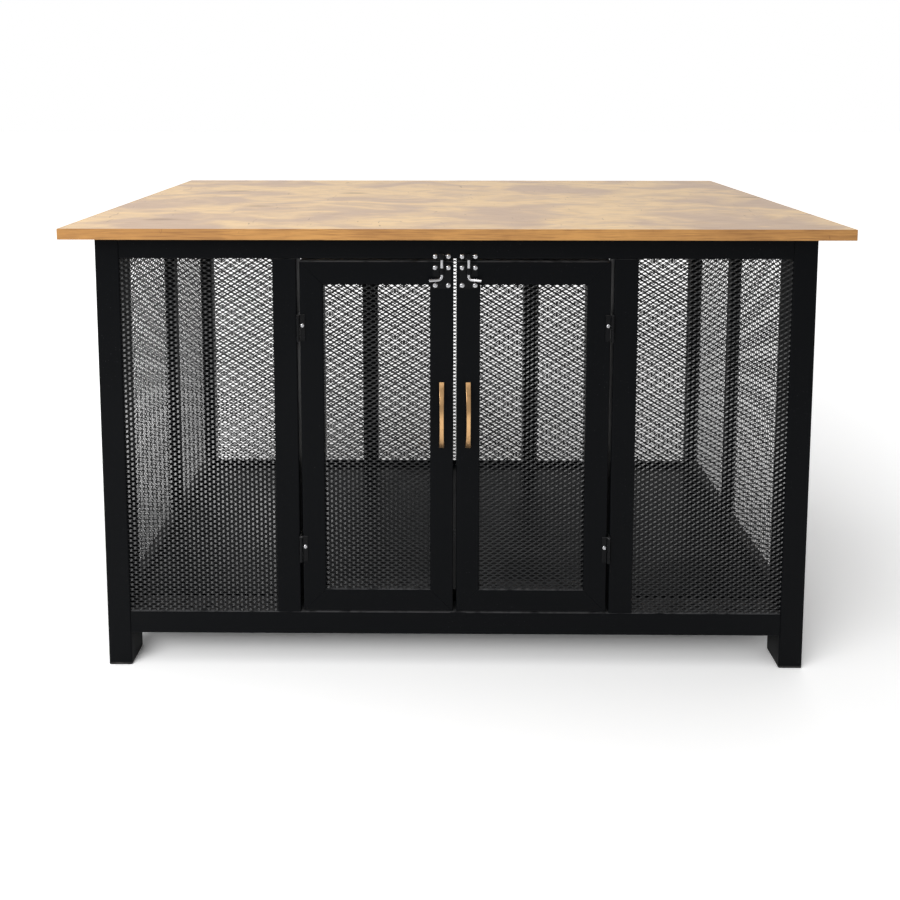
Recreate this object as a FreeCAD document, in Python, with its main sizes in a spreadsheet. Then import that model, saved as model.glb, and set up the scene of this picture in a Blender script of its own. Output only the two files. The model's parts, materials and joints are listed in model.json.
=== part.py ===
import FreeCAD, Part
import math
import os

import Sketcher
from FreeCAD import Placement, Rotation, Vector

# A dog crate with a table top: a welded square-tube frame with diamond mesh in
# every bay, a wood board on top and two mesh doors at the front.
# All lengths are millimetres. X runs along the front, Y from front to back and
# Z up. The origin lies on the floor below the middle of the table top.

SIZES = {
    # table top
    "table_width": 1219,
    "table_depth": 610,
    "table_thickness": 17,
    "edge_band": 1,
    "front_overhang": 26,
    "rear_overhang": 64,
    "side_overhang": 44.5,
    # welded frame
    "frame_height": 710,
    "leg_clearance": 55,
    "tube_wall": 1.5,
    "front_tube": 38,
    "front_post_depth": 44,
    "top_rail_height": 35,
    "side_tube": 20,
    "side_rail_height": 38,
    "rear_tube": 25,
    "rear_rail_height": 25,
    "back_post_width": 34,
    "back_post_spacing": 364,
    "side_post_setback": 283,
    "bearer_spacing": 620,
    # doors
    "door_opening": 498,
    "door_side_gap": 4.5,
    "door_middle_gap": 5,
    "door_top_gap": 4,
    "door_bottom_gap": 2,
    "door_tube": 37,
    "door_depth": 25,
    # expanded mesh
    "mesh_thickness": 1.5,
    "mesh_recess": 1.5,
    "mesh_border": 3,
    "strand_width": 9,
    "diamond_length": 120,
    "diamond_height": 98,
    # floor tray
    "tray_sheet": 1.5,
    "tray_lip": 12,
    "tray_gap": 2,
    # leg caps
    "cap_height": 4,
    "cap_bevel": 2,
    "cap_plug": 16,
    "cap_fit": 0.3,
    # top brackets
    "bracket_leg": 22,
    "bracket_width": 30,
    "bracket_sheet": 2,
    "bracket_spacing": 620,
    "bracket_screw_reach": 13.2,
    # screws
    "screw_head": 7,
    "screw_head_height": 2.2,
    "screw_crown": 4.4,
    "screw_shank": 3.2,
    "screw_length": 8,
    "screw_fit": 0.1,
    "screw_hole_spare": 2,
    # hinges
    "hinge_height": 42,
    "hinge_inset": 106,
    "hinge_sheet": 1.2,
    "knuckle": 5.2,
    "knuckle_gap": 0.3,
    "hinge_pin": 2.8,
    "pin_fit": 0.05,
    "pin_standoff": 2.8,
    "door_leaf_reach": 10.5,
    "post_leaf_reach": 18,
    "leaf_fit": 0.4,
    "leaf_screw_inset": 4,
    "leaf_screw_rise": 4,
    # sliding bolts
    "bolt_plate_width": 28.5,
    "bolt_plate_height": 40,
    "bolt_plate_sheet": 1.2,
    "bolt_plate_drop": 3.5,
    "bolt_screws_across": 20.4,
    "bolt_screws_along": 28,
    "barrel_wall": 1.2,
    "barrel_height": 10,
    "barrel_drop": 6,
    "rod": 5,
    "rod_fit": 0.3,
    "rod_bend": 6,
    "rod_above_arm": 39.8,
    "rod_travel": 14,
    "arm_rise": 15.7,
    "arm_reach": 21,
    "arm_swing": 18,
    "keeper_height": 8.5,
    # pull handles
    "handle_length": 108,
    "handle_width": 8.4,
    "handle_waist": 6.4,
    "handle_thickness": 5,
    "handle_projection": 24,
    "handle_foot": 10,
    "handle_centre_height": 423.5,
    # door stop
    "stop_width": 25,
    "stop_offset": 5,
    "stop_sheet": 1.2,
    "stop_lip": 8,
    "stop_upstand": 22,
    "stop_fit": 0.3,
}

document = FreeCAD.newDocument("dog_crate_table")
sheet = document.addObject("Spreadsheet::Sheet", "Sizes")
for row, (alias, number) in enumerate(SIZES.items(), start=1):
    sheet.set("A%d" % row, alias)
    sheet.set("B%d" % row, str(number))
    sheet.setAlias("B%d" % row, alias)
document.recompute()


class Length:
    """A length that knows its value and the sheet expression behind it."""

    def __init__(self, value, text):
        self.value = value
        self.text = text

    def joined(self, other, sign, value):
        return Length(value, "(%s %s %s)" % (self.text, sign, as_length(other).text))

    def __add__(self, other):
        return self.joined(other, "+", self.value + as_length(other).value)

    def __sub__(self, other):
        return self.joined(other, "-", self.value - as_length(other).value)

    def __mul__(self, other):
        return self.joined(other, "*", self.value * as_length(other).value)

    def __truediv__(self, other):
        return self.joined(other, "/", self.value / as_length(other).value)

    def __neg__(self):
        return Length(-self.value, "(-1 * %s)" % self.text)


def as_length(item):
    return item if isinstance(item, Length) else Length(item, repr(item))


def size(alias):
    return Length(float(getattr(sheet, alias)), "Sizes." + alias)


def in_order(first, second):
    """Two lengths, the smaller first."""
    return (first, second) if first.value < second.value else (second, first)


ZERO = as_length(0)

# places that many pieces share
FRONT = size("front_overhang") - size("table_depth") / 2
REAR = size("table_depth") / 2 - size("rear_overhang")
HALF_WIDTH = size("table_width") / 2 - size("side_overhang")
TOP = size("frame_height")
RAIL_BOTTOM = size("leg_clearance")
BAY_BOTTOM = RAIL_BOTTOM + size("front_tube")
BAY_TOP = TOP - size("top_rail_height")
SIDE_BAY_BOTTOM = RAIL_BOTTOM + size("side_rail_height")
SIDE_BAY_TOP = BAY_TOP
REAR_BAY_BOTTOM = RAIL_BOTTOM + size("rear_rail_height")
REAR_BAY_TOP = TOP - size("rear_rail_height")
FRONT_BAY_OUTER = HALF_WIDTH - size("front_tube")
DOOR_POST_INNER = size("door_opening") / 2
FRONT_BAY_INNER = DOOR_POST_INNER + size("front_tube")
SIDE_BAY_FRONT = FRONT + size("front_post_depth")
SIDE_POST_FRONT = FRONT + size("side_post_setback")
SIDE_POST_BACK = SIDE_POST_FRONT + size("side_tube")
REAR_FRAME_FRONT = REAR - size("rear_tube")
SIDE_RAIL_INNER = HALF_WIDTH - size("side_tube")
REAR_BAY_OUTER = HALF_WIDTH - size("rear_tube")
BACK_POST_CENTRE = size("back_post_spacing") / 2
BACK_POST_OUTER = BACK_POST_CENTRE + size("back_post_width") / 2
BACK_POST_INNER = BACK_POST_CENTRE - size("back_post_width") / 2

DOOR_BOTTOM = BAY_BOTTOM + size("door_bottom_gap")
DOOR_TOP = BAY_TOP - size("door_top_gap")
DOOR_HEIGHT = DOOR_TOP - DOOR_BOTTOM
DOOR_OUTER = DOOR_POST_INNER - size("door_side_gap")
DOOR_INNER = size("door_middle_gap") / 2
DOOR_WIDTH = DOOR_OUTER - DOOR_INNER
LOCK_STILE_CENTRE = DOOR_INNER + size("door_tube") / 2
HINGE_STILE_CENTRE = DOOR_OUTER - size("door_tube") / 2
PIN_X = DOOR_POST_INNER - size("door_side_gap") / 2
PIN_Y = FRONT - size("pin_standoff")
HINGE_HEIGHTS = (DOOR_BOTTOM + size("hinge_inset"), DOOR_TOP - size("hinge_inset"))
SCREW_HOLE = size("screw_shank") + size("screw_fit") * 2

BOLT_PLATE_CENTRE = DOOR_TOP - size("bolt_plate_drop") - size("bolt_plate_height") / 2
BOLT_PLATE_BOTTOM = BOLT_PLATE_CENTRE - size("bolt_plate_height") / 2
ARM_HEIGHT = BOLT_PLATE_BOTTOM + size("arm_rise")
BORE = size("rod") + size("rod_fit") * 2
BARREL = BORE + size("barrel_wall") * 2
BORE_STANDOFF = size("bolt_plate_sheet") + BORE / 2
KEEPER_CENTRE = BAY_TOP + size("keeper_height") / 2

SIDES = {"left": -1, "right": 1}
SHANK_SIDES = 6
HEAD_SIDES = 8
ROD_SIDES = 16
# how far the outline of a cut runs past the solid it is made in
OVERCUT = 1
UPRIGHT = Rotation()
ALONG_X = Rotation(Vector(0, 1, 0), 90)
AGAINST_X = Rotation(Vector(0, 1, 0), -90)
ALONG_Y = Rotation(Vector(1, 0, 0), -90)
HEAD_DOWN = Rotation(Vector(0, 1, 0), 180)
FACING_FRONT = Rotation(Vector(1, 0, 0), 90)
FACING_DOWN = Rotation(Vector(1, 0, 0), 180)

parts = []


# ---------------------------------------------------------------- tools

def keep(item, label):
    """Name an object as a finished sub-part."""
    item.Label = label
    parts.append(item)
    return item


def place(item, position, rotation=UPRIGHT):
    """Turn an object and tie its position to the sheet."""
    item.Placement = Placement(Vector(*[axis.value for axis in position]), rotation)
    for axis, length in zip("xyz", position):
        item.setExpression("Placement.Base.%s" % axis, length.text)


def new_body(name):
    return document.addObject("PartDesign::Body", name)


def new_sketch(body, name, role):
    """An empty sketch on one of the body's own origin planes."""
    sketch = body.newObject("Sketcher::SketchObject", name)
    plane = next(item for item in body.Origin.OriginFeatures if item.Role == role)
    sketch.AttachmentSupport = [(plane, "")]
    sketch.MapMode = "FlatFace"
    return sketch


def constrain(sketch, kind, *where):
    return sketch.addConstraint(Sketcher.Constraint(kind, *where))


def bind(sketch, kind, where, length):
    """A dimension that follows the sheet. Its sign is in the order of its points."""
    index = constrain(sketch, kind, *where, length.value)
    sketch.setExpression("Constraints[%d]" % index, length.text)


def draw_chain(sketch, corners):
    """A closed outline of straight lines; returns the index of its first line."""
    first = sketch.GeometryCount
    count = len(corners)
    points = [Vector(u.value, v.value, 0) for u, v in corners]
    for k in range(count):
        sketch.addGeometry(Part.LineSegment(points[k], points[(k + 1) % count]), False)
    for k in range(count):
        constrain(sketch, "Coincident", first + k, 2, first + (k + 1) % count, 1)
    return first


def draw_polygon(sketch, corners):
    """A closed outline whose every corner is dimensioned from the sketch origin."""
    first = draw_chain(sketch, corners)
    for k, corner in enumerate(corners):
        for kind, length in zip(("DistanceX", "DistanceY"), corner):
            bind(sketch, kind, (-1, 1, first + k, 1), length)


def draw_rectangle(sketch, width, height, centre=None):
    """A rectangle of the given width and height about a centre."""
    u, v = centre or (ZERO, ZERO)
    corners = [
        (u - width / 2, v - height / 2),
        (u + width / 2, v - height / 2),
        (u + width / 2, v + height / 2),
        (u - width / 2, v + height / 2),
    ]
    draw_polygon(sketch, corners)


def draw_ring(sketch, sides, diameter, centre=None, turn=0):
    """A regular polygon in a circle, for what repeats too often to be round."""
    u, v = centre or (ZERO, ZERO)
    radius = diameter / 2
    corners = []
    for k in range(sides):
        angle = math.radians(turn) + 2 * math.pi * k / sides
        corners.append((u + radius * math.cos(angle), v + radius * math.sin(angle)))
    draw_polygon(sketch, corners)


def draw_circle(sketch, diameter, centre=None):
    u, v = centre or (ZERO, ZERO)
    circle = Part.Circle(Vector(u.value, v.value, 0), Vector(0, 0, 1), diameter.value / 2)
    index = sketch.addGeometry(circle, False)
    bind(sketch, "Diameter", (index,), diameter)
    bind(sketch, "DistanceX", (-1, 1, index, 3), u)
    bind(sketch, "DistanceY", (-1, 1, index, 3), v)


def pad(body, sketch, length, middle=False, down=False):
    feature = body.newObject("PartDesign::Pad", sketch.Name + "_pad")
    feature.Profile = sketch
    feature.Midplane = middle
    feature.Reversed = down
    feature.setExpression("Length", length.text)
    document.recompute()
    return feature


def pocket(body, sketch, length=None, flipped=False):
    """Cut a sketch into the body, right through it where no length is given."""
    before = body.Shape.Volume
    feature = body.newObject("PartDesign::Pocket", sketch.Name + "_pocket")
    feature.Profile = sketch
    if length is None:
        feature.Type = "ThroughAll"
        feature.Midplane = True
    else:
        feature.Reversed = flipped
        feature.setExpression("Length", length.text)
    document.recompute()
    if body.Shape.Volume >= before:
        raise RuntimeError("the cut %s removes nothing" % feature.Name)
    return feature


# ---------------------------------------------------------------- tubes

def tube_body(name, width, depth, length):
    """A hollow rectangular tube along its own Z axis."""
    body = new_body(name)
    wall = size("tube_wall") * 2
    profile = new_sketch(body, name + "_profile", "XY_Plane")
    draw_rectangle(profile, width, depth)
    draw_rectangle(profile, width - wall, depth - wall)
    pad(body, profile, length)
    return body


def add_tube(label, width, depth, length, position, rotation=UPRIGHT):
    body = tube_body(label, width, depth, length)
    place(body, position, rotation)
    return keep(body, label)


def drill_front(body, name, holes, depth, turn=0):
    """Screw holes through the front wall of a tube, seen from its front."""
    sketch = new_sketch(body, name, "XZ_Plane")
    for centre in holes:
        draw_ring(sketch, SHANK_SIDES, SCREW_HOLE, centre, turn)
    pocket(body, sketch, depth / 2 + OVERCUT, flipped=True)


def cut_mitres(body, name, width, length):
    """Take both ends off at 45 degrees; the outer edge is the one at -X."""
    sketch = new_sketch(body, name, "XZ_Plane")
    outer = -(width / 2) - OVERCUT
    inner = width / 2 + OVERCUT
    low = ZERO - OVERCUT
    high = length + OVERCUT
    draw_polygon(sketch, [(outer, low), (inner, low), (inner, width + OVERCUT)])
    draw_polygon(sketch, [(outer, high), (inner, high), (inner, length - width - OVERCUT)])
    pocket(body, sketch)


def bolt_screw_points():
    """The four screws of a bolt plate, from the middle of the plate."""
    across = size("bolt_screws_across") / 2
    along = size("bolt_screws_along") / 2
    return [(across * i, along * j) for i in (-1, 1) for j in (-1, 1)]


def keeper_screw_points():
    across = size("bolt_screws_across") / 2
    return [(across * i, ZERO) for i in (-1, 1)]


def rail_levels(bottom_height):
    """Height and middle of the bottom rail and of the top rail of a frame side."""
    top_height = size("top_rail_height")
    bottom = ("bottom", bottom_height, RAIL_BOTTOM + bottom_height / 2)
    return bottom, ("top", top_height, TOP - top_height / 2)


def add_frame_tubes():
    tube = size("front_tube")
    side = size("side_tube")
    rear = size("rear_tube")
    cap = size("cap_height")
    post_length = TOP - cap
    bay = BAY_TOP - BAY_BOTTOM
    front_y = FRONT + tube / 2
    rear_y = REAR - rear / 2
    side_run = REAR_FRAME_FRONT - SIDE_BAY_FRONT
    for name, sign in SIDES.items():
        x = (HALF_WIDTH - tube / 2) * sign
        y = FRONT + size("front_post_depth") / 2
        add_tube("front_post_" + name, tube, size("front_post_depth"), post_length, (x, y, cap))
        x = (HALF_WIDTH - rear / 2) * sign
        add_tube("rear_post_" + name, rear, rear, post_length, (x, rear_y, cap))
        x = (DOOR_POST_INNER + tube / 2) * sign
        add_tube("door_post_" + name, tube, tube, bay, (x, front_y, BAY_BOTTOM))
        x = BACK_POST_CENTRE * sign
        bay_rear = REAR_BAY_TOP - REAR_BAY_BOTTOM
        width = size("back_post_width")
        add_tube("back_post_" + name, width, rear, bay_rear, (x, rear_y, REAR_BAY_BOTTOM))
        x = (HALF_WIDTH - side / 2) * sign
        bay_side = SIDE_BAY_TOP - SIDE_BAY_BOTTOM
        y = SIDE_POST_FRONT + side / 2
        add_tube("side_post_" + name, side, side, bay_side, (x, y, SIDE_BAY_BOTTOM))
        for level, height, z in rail_levels(size("side_rail_height")):
            label = "side_%s_rail_%s" % (level, name)
            add_tube(label, side, height, side_run, (x, SIDE_BAY_FRONT, z), ALONG_Y)

    front_run = FRONT_BAY_OUTER * 2
    for level, height, z in rail_levels(tube):
        label = "front_%s_rail" % level
        body = add_tube(label, height, tube, front_run, (-FRONT_BAY_OUTER, front_y, z), ALONG_X)
        if level == "top":
            drill_keeper_holes(body, z)
    rear_run = REAR_BAY_OUTER * 2
    height = size("rear_rail_height")
    for level, z in (("bottom", RAIL_BOTTOM + height / 2), ("top", TOP - height / 2)):
        label = "rear_%s_rail" % level
        add_tube(label, height, rear, rear_run, (-REAR_BAY_OUTER, rear_y, z), ALONG_X)


def drill_keeper_holes(rail, rail_z):
    """Holes for the four keeper screws, from the rail's left end."""
    holes = []
    for sign in SIDES.values():
        for across, up in keeper_screw_points():
            run = FRONT_BAY_OUTER + LOCK_STILE_CENTRE * sign + across
            holes.append((rail_z - KEEPER_CENTRE - up, run))
    drill_front(rail, "keeper_holes", holes, size("front_tube"), turn=90)


# ---------------------------------------------------------------- mesh

def diamond(centre_u, centre_v, half_u, half_v):
    corners = [
        Vector(centre_u - half_u, 0, centre_v),
        Vector(centre_u, 0, centre_v - half_v),
        Vector(centre_u + half_u, 0, centre_v),
        Vector(centre_u, 0, centre_v + half_v),
    ]
    return Part.Face(Part.makePolygon(corners + corners[:1]))


def rectangle_face(left, bottom, right, top):
    corners = [
        Vector(left, 0, bottom),
        Vector(right, 0, bottom),
        Vector(right, 0, top),
        Vector(left, 0, top),
    ]
    return Part.Face(Part.makePolygon(corners + corners[:1]))


def mesh_shape(width, height):
    """Expanded sheet that fills a bay: diamonds in a lattice of half pitches."""
    border = size("mesh_border").value
    clear_width = width.value - 2 * border
    clear_height = height.value - 2 * border
    columns = max(2, round(2 * clear_width / size("diamond_length").value))
    rows = max(2, round(2 * clear_height / size("diamond_height").value))
    step_u = clear_width / columns
    step_v = clear_height / rows
    # each side of a diamond moves in by half a strand
    slope = math.atan2(step_v, step_u)
    strand = size("strand_width").value
    half_u = step_u - strand / 2 / math.sin(slope)
    half_v = step_v - strand / 2 / math.cos(slope)
    window = rectangle_face(border, border, width.value - border, height.value - border)
    gaps = []
    for i in range(columns + 1):
        for j in range(i % 2, rows + 1, 2):
            gap = diamond(border + i * step_u, border + j * step_v, half_u, half_v)
            if i in (0, columns) or j in (0, rows):
                gap = gap.common(window)
            gaps.extend(gap.Faces)
    outline = rectangle_face(0, 0, width.value, height.value)
    net = outline.cut(Part.makeCompound(gaps)).Faces[0]
    return net.extrude(Vector(0, size("mesh_thickness").value, 0))


def add_mesh(label, width, height, position, quarter_turn=False):
    """A mesh panel; position is its lower corner nearest the left or the front."""
    item = document.addObject("Part::Feature", label)
    item.Shape = mesh_shape(width, height)
    rotation = Rotation(Vector(0, 0, 1), 90) if quarter_turn else UPRIGHT
    place(item, position, rotation)
    return keep(item, label)


def add_meshes():
    recess = size("mesh_recess")
    sheet_depth = size("mesh_thickness")
    front_y = FRONT + recess
    back_y = REAR - recess - sheet_depth
    front_height = BAY_TOP - BAY_BOTTOM
    front_width = FRONT_BAY_OUTER - FRONT_BAY_INNER
    for name, corner in (("left", -FRONT_BAY_OUTER), ("right", FRONT_BAY_INNER)):
        label = "front_mesh_" + name
        add_mesh(label, front_width, front_height, (corner, front_y, BAY_BOTTOM))

    rear_height = REAR_BAY_TOP - REAR_BAY_BOTTOM
    outer_width = REAR_BAY_OUTER - BACK_POST_OUTER
    back_bays = (
        ("left", -REAR_BAY_OUTER, outer_width),
        ("middle", -BACK_POST_INNER, BACK_POST_INNER * 2),
        ("right", BACK_POST_OUTER, outer_width),
    )
    for name, corner, width in back_bays:
        label = "back_mesh_" + name
        add_mesh(label, width, rear_height, (corner, back_y, REAR_BAY_BOTTOM))

    side_height = SIDE_BAY_TOP - SIDE_BAY_BOTTOM
    side_bays = (
        ("front", SIDE_BAY_FRONT, SIDE_POST_FRONT - SIDE_BAY_FRONT),
        ("rear", SIDE_POST_BACK, REAR_FRAME_FRONT - SIDE_POST_BACK),
    )
    # a quarter turn lays the panel's thickness towards -X from its corner
    side_x = {"left": -HALF_WIDTH + recess + sheet_depth, "right": HALF_WIDTH - recess}
    for name, x in side_x.items():
        for bay, y, width in side_bays:
            label = "side_mesh_%s_%s" % (name, bay)
            add_mesh(label, width, side_height, (x, y, SIDE_BAY_BOTTOM), quarter_turn=True)


# ---------------------------------------------------------------- table, floor, feet

def add_table():
    band = size("edge_band") * 2
    thickness = size("table_thickness")
    width = size("table_width")
    depth = size("table_depth")
    core = new_body("table_core")
    outline = new_sketch(core, "table_outline", "XY_Plane")
    draw_rectangle(outline, width - band, depth - band)
    pad(core, outline, thickness)
    holes = new_sketch(core, "table_holes", "XY_Plane")
    for x, y, _ in bracket_screws():
        draw_ring(holes, SHANK_SIDES, SCREW_HOLE, (x, y))
    pocket(core, holes, size("screw_length") + size("screw_hole_spare"), flipped=True)
    place(core, (ZERO, ZERO, TOP))
    keep(core, "table_core")

    ring = new_body("table_edge_band")
    profile = new_sketch(ring, "band_profile", "XY_Plane")
    draw_rectangle(profile, width, depth)
    draw_rectangle(profile, width - band, depth - band)
    pad(ring, profile, thickness)
    place(ring, (ZERO, ZERO, TOP))
    keep(ring, "table_edge_band")


def add_floor():
    """A shallow steel tray on two cross bearers."""
    gap = size("tray_gap")
    bearer = size("rear_tube")
    bearer_front = FRONT + size("front_tube")
    run = REAR_FRAME_FRONT - bearer_front
    bearer_z = RAIL_BOTTOM + bearer / 2
    bearers = []
    for name, sign in SIDES.items():
        body = tube_body("bearer_" + name, bearer, bearer, run)
        x = size("bearer_spacing") / 2 * sign
        place(body, (x, bearer_front, bearer_z), ALONG_Y)
        bearers.append(body)
    add_group("floor_bearers", bearers)

    width = (SIDE_RAIL_INNER - gap) * 2
    front = SIDE_BAY_FRONT + gap
    back = REAR_FRAME_FRONT - gap
    depth = back - front
    middle = (front + back) / 2
    wall = size("tray_sheet")
    base = RAIL_BOTTOM + bearer
    tray = bar_body("floor_tray", width, depth, wall)
    place(tray, (ZERO, middle, base))
    keep(tray, "floor_tray")

    # four strips stand on the sheet's edges; the side strips cover the others' ends
    lip = size("tray_lip") - wall
    strips = []
    for name, sign in SIDES.items():
        strip = bar_body("tray_lip_" + name, wall, depth, lip)
        place(strip, ((width - wall) / 2 * sign, middle, base + wall))
        strips.append(strip)
    for name, y in (("front", front + wall / 2), ("back", back - wall / 2)):
        strip = bar_body("tray_lip_" + name, width - wall * 2, wall, lip)
        place(strip, (ZERO, y, base + wall))
        strips.append(strip)
    add_group("tray_rim", strips)


def bar_body(name, width, depth, height):
    """A plain bar or sheet that stands on its own XY plane."""
    body = new_body(name)
    outline = new_sketch(body, name + "_outline", "XY_Plane")
    draw_rectangle(outline, width, depth)
    pad(body, outline, height)
    return body


def cap_body(name, width, depth):
    """A plastic leg cap: a foot with a bevelled sole and a plug inside the tube."""
    body = new_body(name)
    foot = new_sketch(body, name + "_foot", "XY_Plane")
    draw_rectangle(foot, width, depth)
    base = pad(body, foot, size("cap_height"))
    soles = []
    for index, edge in enumerate(base.Shape.Edges, start=1):
        if all(abs(vertex.Z) < 0.01 for vertex in edge.Vertexes):
            soles.append("Edge%d" % index)
    bevel = body.newObject("PartDesign::Chamfer", name + "_bevel")
    bevel.Base = (base, soles)
    bevel.setExpression("Size", size("cap_bevel").text)
    document.recompute()
    plug = new_sketch(body, name + "_plug", "XY_Plane")
    inset = (size("tube_wall") + size("cap_fit")) * 2
    plug.setExpression("AttachmentOffset.Base.z", size("cap_bevel").text)
    draw_rectangle(plug, width - inset, depth - inset)
    pad(body, plug, size("cap_height") - size("cap_bevel") + size("cap_plug"))
    return body


def add_caps():
    tube = size("front_tube")
    rear = size("rear_tube")
    front_caps = []
    rear_caps = []
    for name, sign in SIDES.items():
        body = cap_body("front_cap_" + name, tube, size("front_post_depth"))
        y = FRONT + size("front_post_depth") / 2
        place(body, ((HALF_WIDTH - tube / 2) * sign, y, ZERO))
        front_caps.append(body)
        body = cap_body("rear_cap_" + name, rear, rear)
        place(body, ((HALF_WIDTH - rear / 2) * sign, REAR - rear / 2, ZERO))
        rear_caps.append(body)
    add_group("front_leg_caps", front_caps)
    add_group("rear_leg_caps", rear_caps)


# ---------------------------------------------------------------- copies and groups

def add_group(label, members):
    """Several alike solids that share one node."""
    group = document.addObject("Part::Compound", label)
    group.Links = members
    document.recompute()
    return keep(group, label)


def add_copy(name, master, position, rotation=UPRIGHT):
    copy = document.addObject("App::Link", name)
    copy.LinkedObject = master
    place(copy, position, rotation)
    return copy


def screw_body():
    """A dome-headed screw: its head above the XY plane, its shank below."""
    body = new_body("dome_screw")
    shank = new_sketch(body, "screw_shank", "XY_Plane")
    draw_ring(shank, SHANK_SIDES, size("screw_shank"))
    pad(body, shank, size("screw_length"), down=True)
    head = new_sketch(body, "screw_head", "XY_Plane")
    draw_ring(head, HEAD_SIDES, size("screw_head"))
    crown = new_sketch(body, "screw_crown", "XY_Plane")
    crown.setExpression("AttachmentOffset.Base.z", size("screw_head_height").text)
    draw_ring(crown, HEAD_SIDES, size("screw_crown"))
    document.recompute()
    dome = body.newObject("PartDesign::AdditiveLoft", "screw_dome")
    dome.Profile = head
    dome.Sections = [crown]
    document.recompute()
    return body


def bracket_frames():
    """Foot of each top bracket at its rail, and the way its other leg points in Y."""
    half = size("bracket_spacing") / 2
    frames = []
    for sign in SIDES.values():
        frames.append((half * sign, FRONT + size("front_tube"), 1))
        frames.append((half * sign, REAR_FRAME_FRONT, -1))
    return frames


def bracket_screws():
    """The underside of each bracket at its screw."""
    reach = size("bracket_screw_reach")
    underside = TOP - size("bracket_sheet")
    return [(x, y + reach * way, underside) for x, y, way in bracket_frames()]


def bracket_body():
    """An angle bracket: one leg on the rail's inner side, one under the board."""
    body = new_body("bracket")
    leg = size("bracket_leg")
    sheet_depth = size("bracket_sheet")
    profile = new_sketch(body, "bracket_profile", "YZ_Plane")
    outline = [
        (ZERO, ZERO),
        (leg, ZERO),
        (leg, -sheet_depth),
        (sheet_depth, -sheet_depth),
        (sheet_depth, -leg),
        (ZERO, -leg),
    ]
    draw_polygon(profile, outline)
    pad(body, profile, size("bracket_width"), middle=True)
    hole = new_sketch(body, "bracket_hole", "XY_Plane")
    draw_ring(hole, SHANK_SIDES, SCREW_HOLE, (ZERO, size("bracket_screw_reach")))
    pocket(body, hole)
    return body


def add_brackets():
    master = bracket_body()
    copies = []
    for index, (x, y, way) in enumerate(bracket_frames(), start=1):
        turn = Rotation(Vector(0, 0, 1), 0 if way > 0 else 180)
        copies.append(add_copy("bracket_%d" % index, master, (x, y, TOP), turn))
    add_group("top_brackets", copies)


# ---------------------------------------------------------------- doors

def add_door_frame(name, sign):
    """Four mitred tubes; each runs with its outer edge at its own -X."""
    tube = size("door_tube")
    depth = size("door_depth")
    y = FRONT + depth / 2
    left_end = -DOOR_OUTER if sign < 0 else DOOR_INNER
    right_end = left_end + DOOR_WIDTH
    hinge_x = HINGE_STILE_CENTRE * sign
    lock_x = LOCK_STILE_CENTRE * sign
    # the stile on the left stands upright, the one on the right hangs head down
    left_kind, right_kind = ("hinge", "lock") if sign < 0 else ("lock", "hinge")
    left_x, right_x = (hinge_x, lock_x) if sign < 0 else (lock_x, hinge_x)
    members = (
        (left_kind + "_stile", DOOR_HEIGHT, (left_x, y, DOOR_BOTTOM), UPRIGHT),
        (right_kind + "_stile", DOOR_HEIGHT, (right_x, y, DOOR_TOP), HEAD_DOWN),
        ("top_rail", DOOR_WIDTH, (left_end, y, DOOR_TOP - tube / 2), ALONG_X),
        ("bottom_rail", DOOR_WIDTH, (right_end, y, DOOR_BOTTOM + tube / 2), AGAINST_X),
    )
    bodies = {}
    for kind, length, position, rotation in members:
        label = "%s_door_%s" % (name, kind)
        body = tube_body(label, tube, depth, length)
        cut_mitres(body, label + "_mitres", tube, length)
        place(body, position, rotation)
        bodies[kind] = body
    drill_door(bodies, name, sign, left_end)
    for body in bodies.values():
        keep(body, body.Name)


def drill_door(bodies, name, sign, left_end):
    """Screw holes of the bolt plate and the hinge leaves."""
    depth = size("door_depth")
    plate_x = LOCK_STILE_CENTRE * sign
    bolt_points = [(plate_x + u, BOLT_PLATE_CENTRE + v) for u, v in bolt_screw_points()]
    leaf_points = [(leaf_screw_x(sign), z + size("leaf_screw_rise")) for z in HINGE_HEIGHTS]
    upright_kind = "hinge_stile" if sign < 0 else "lock_stile"
    holes = {"lock_stile": bolt_points, "hinge_stile": leaf_points}
    for kind, points in holes.items():
        centre_x = (LOCK_STILE_CENTRE if kind == "lock_stile" else HINGE_STILE_CENTRE) * sign
        if kind == upright_kind:
            seen = [(x - centre_x, z - DOOR_BOTTOM) for x, z in points]
        else:
            seen = [(centre_x - x, DOOR_TOP - z) for x, z in points]
        drill_front(bodies[kind], "%s_%s_holes" % (name, kind), seen, depth)
    rail_z = DOOR_TOP - size("door_tube") / 2
    seen = [(rail_z - z, x - left_end) for x, z in bolt_points]
    drill_front(bodies["top_rail"], name + "_top_rail_holes", seen, depth, turn=90)


def add_door_mesh(name, sign):
    tube = size("door_tube")
    left_end = -DOOR_OUTER if sign < 0 else DOOR_INNER
    corner = (left_end + tube, FRONT + size("mesh_recess"), DOOR_BOTTOM + tube)
    width = DOOR_WIDTH - tube * 2
    height = DOOR_HEIGHT - tube * 2
    add_mesh(name + "_door_mesh", width, height, corner)


# ---------------------------------------------------------------- hinges

def leaf_screw_x(sign):
    """The leaf screws go through the hinge stile, clear of its side wall."""
    return (DOOR_OUTER - size("leaf_screw_inset")) * sign


def knuckle_length():
    return (size("hinge_height") - size("knuckle_gap")) / 2


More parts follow.
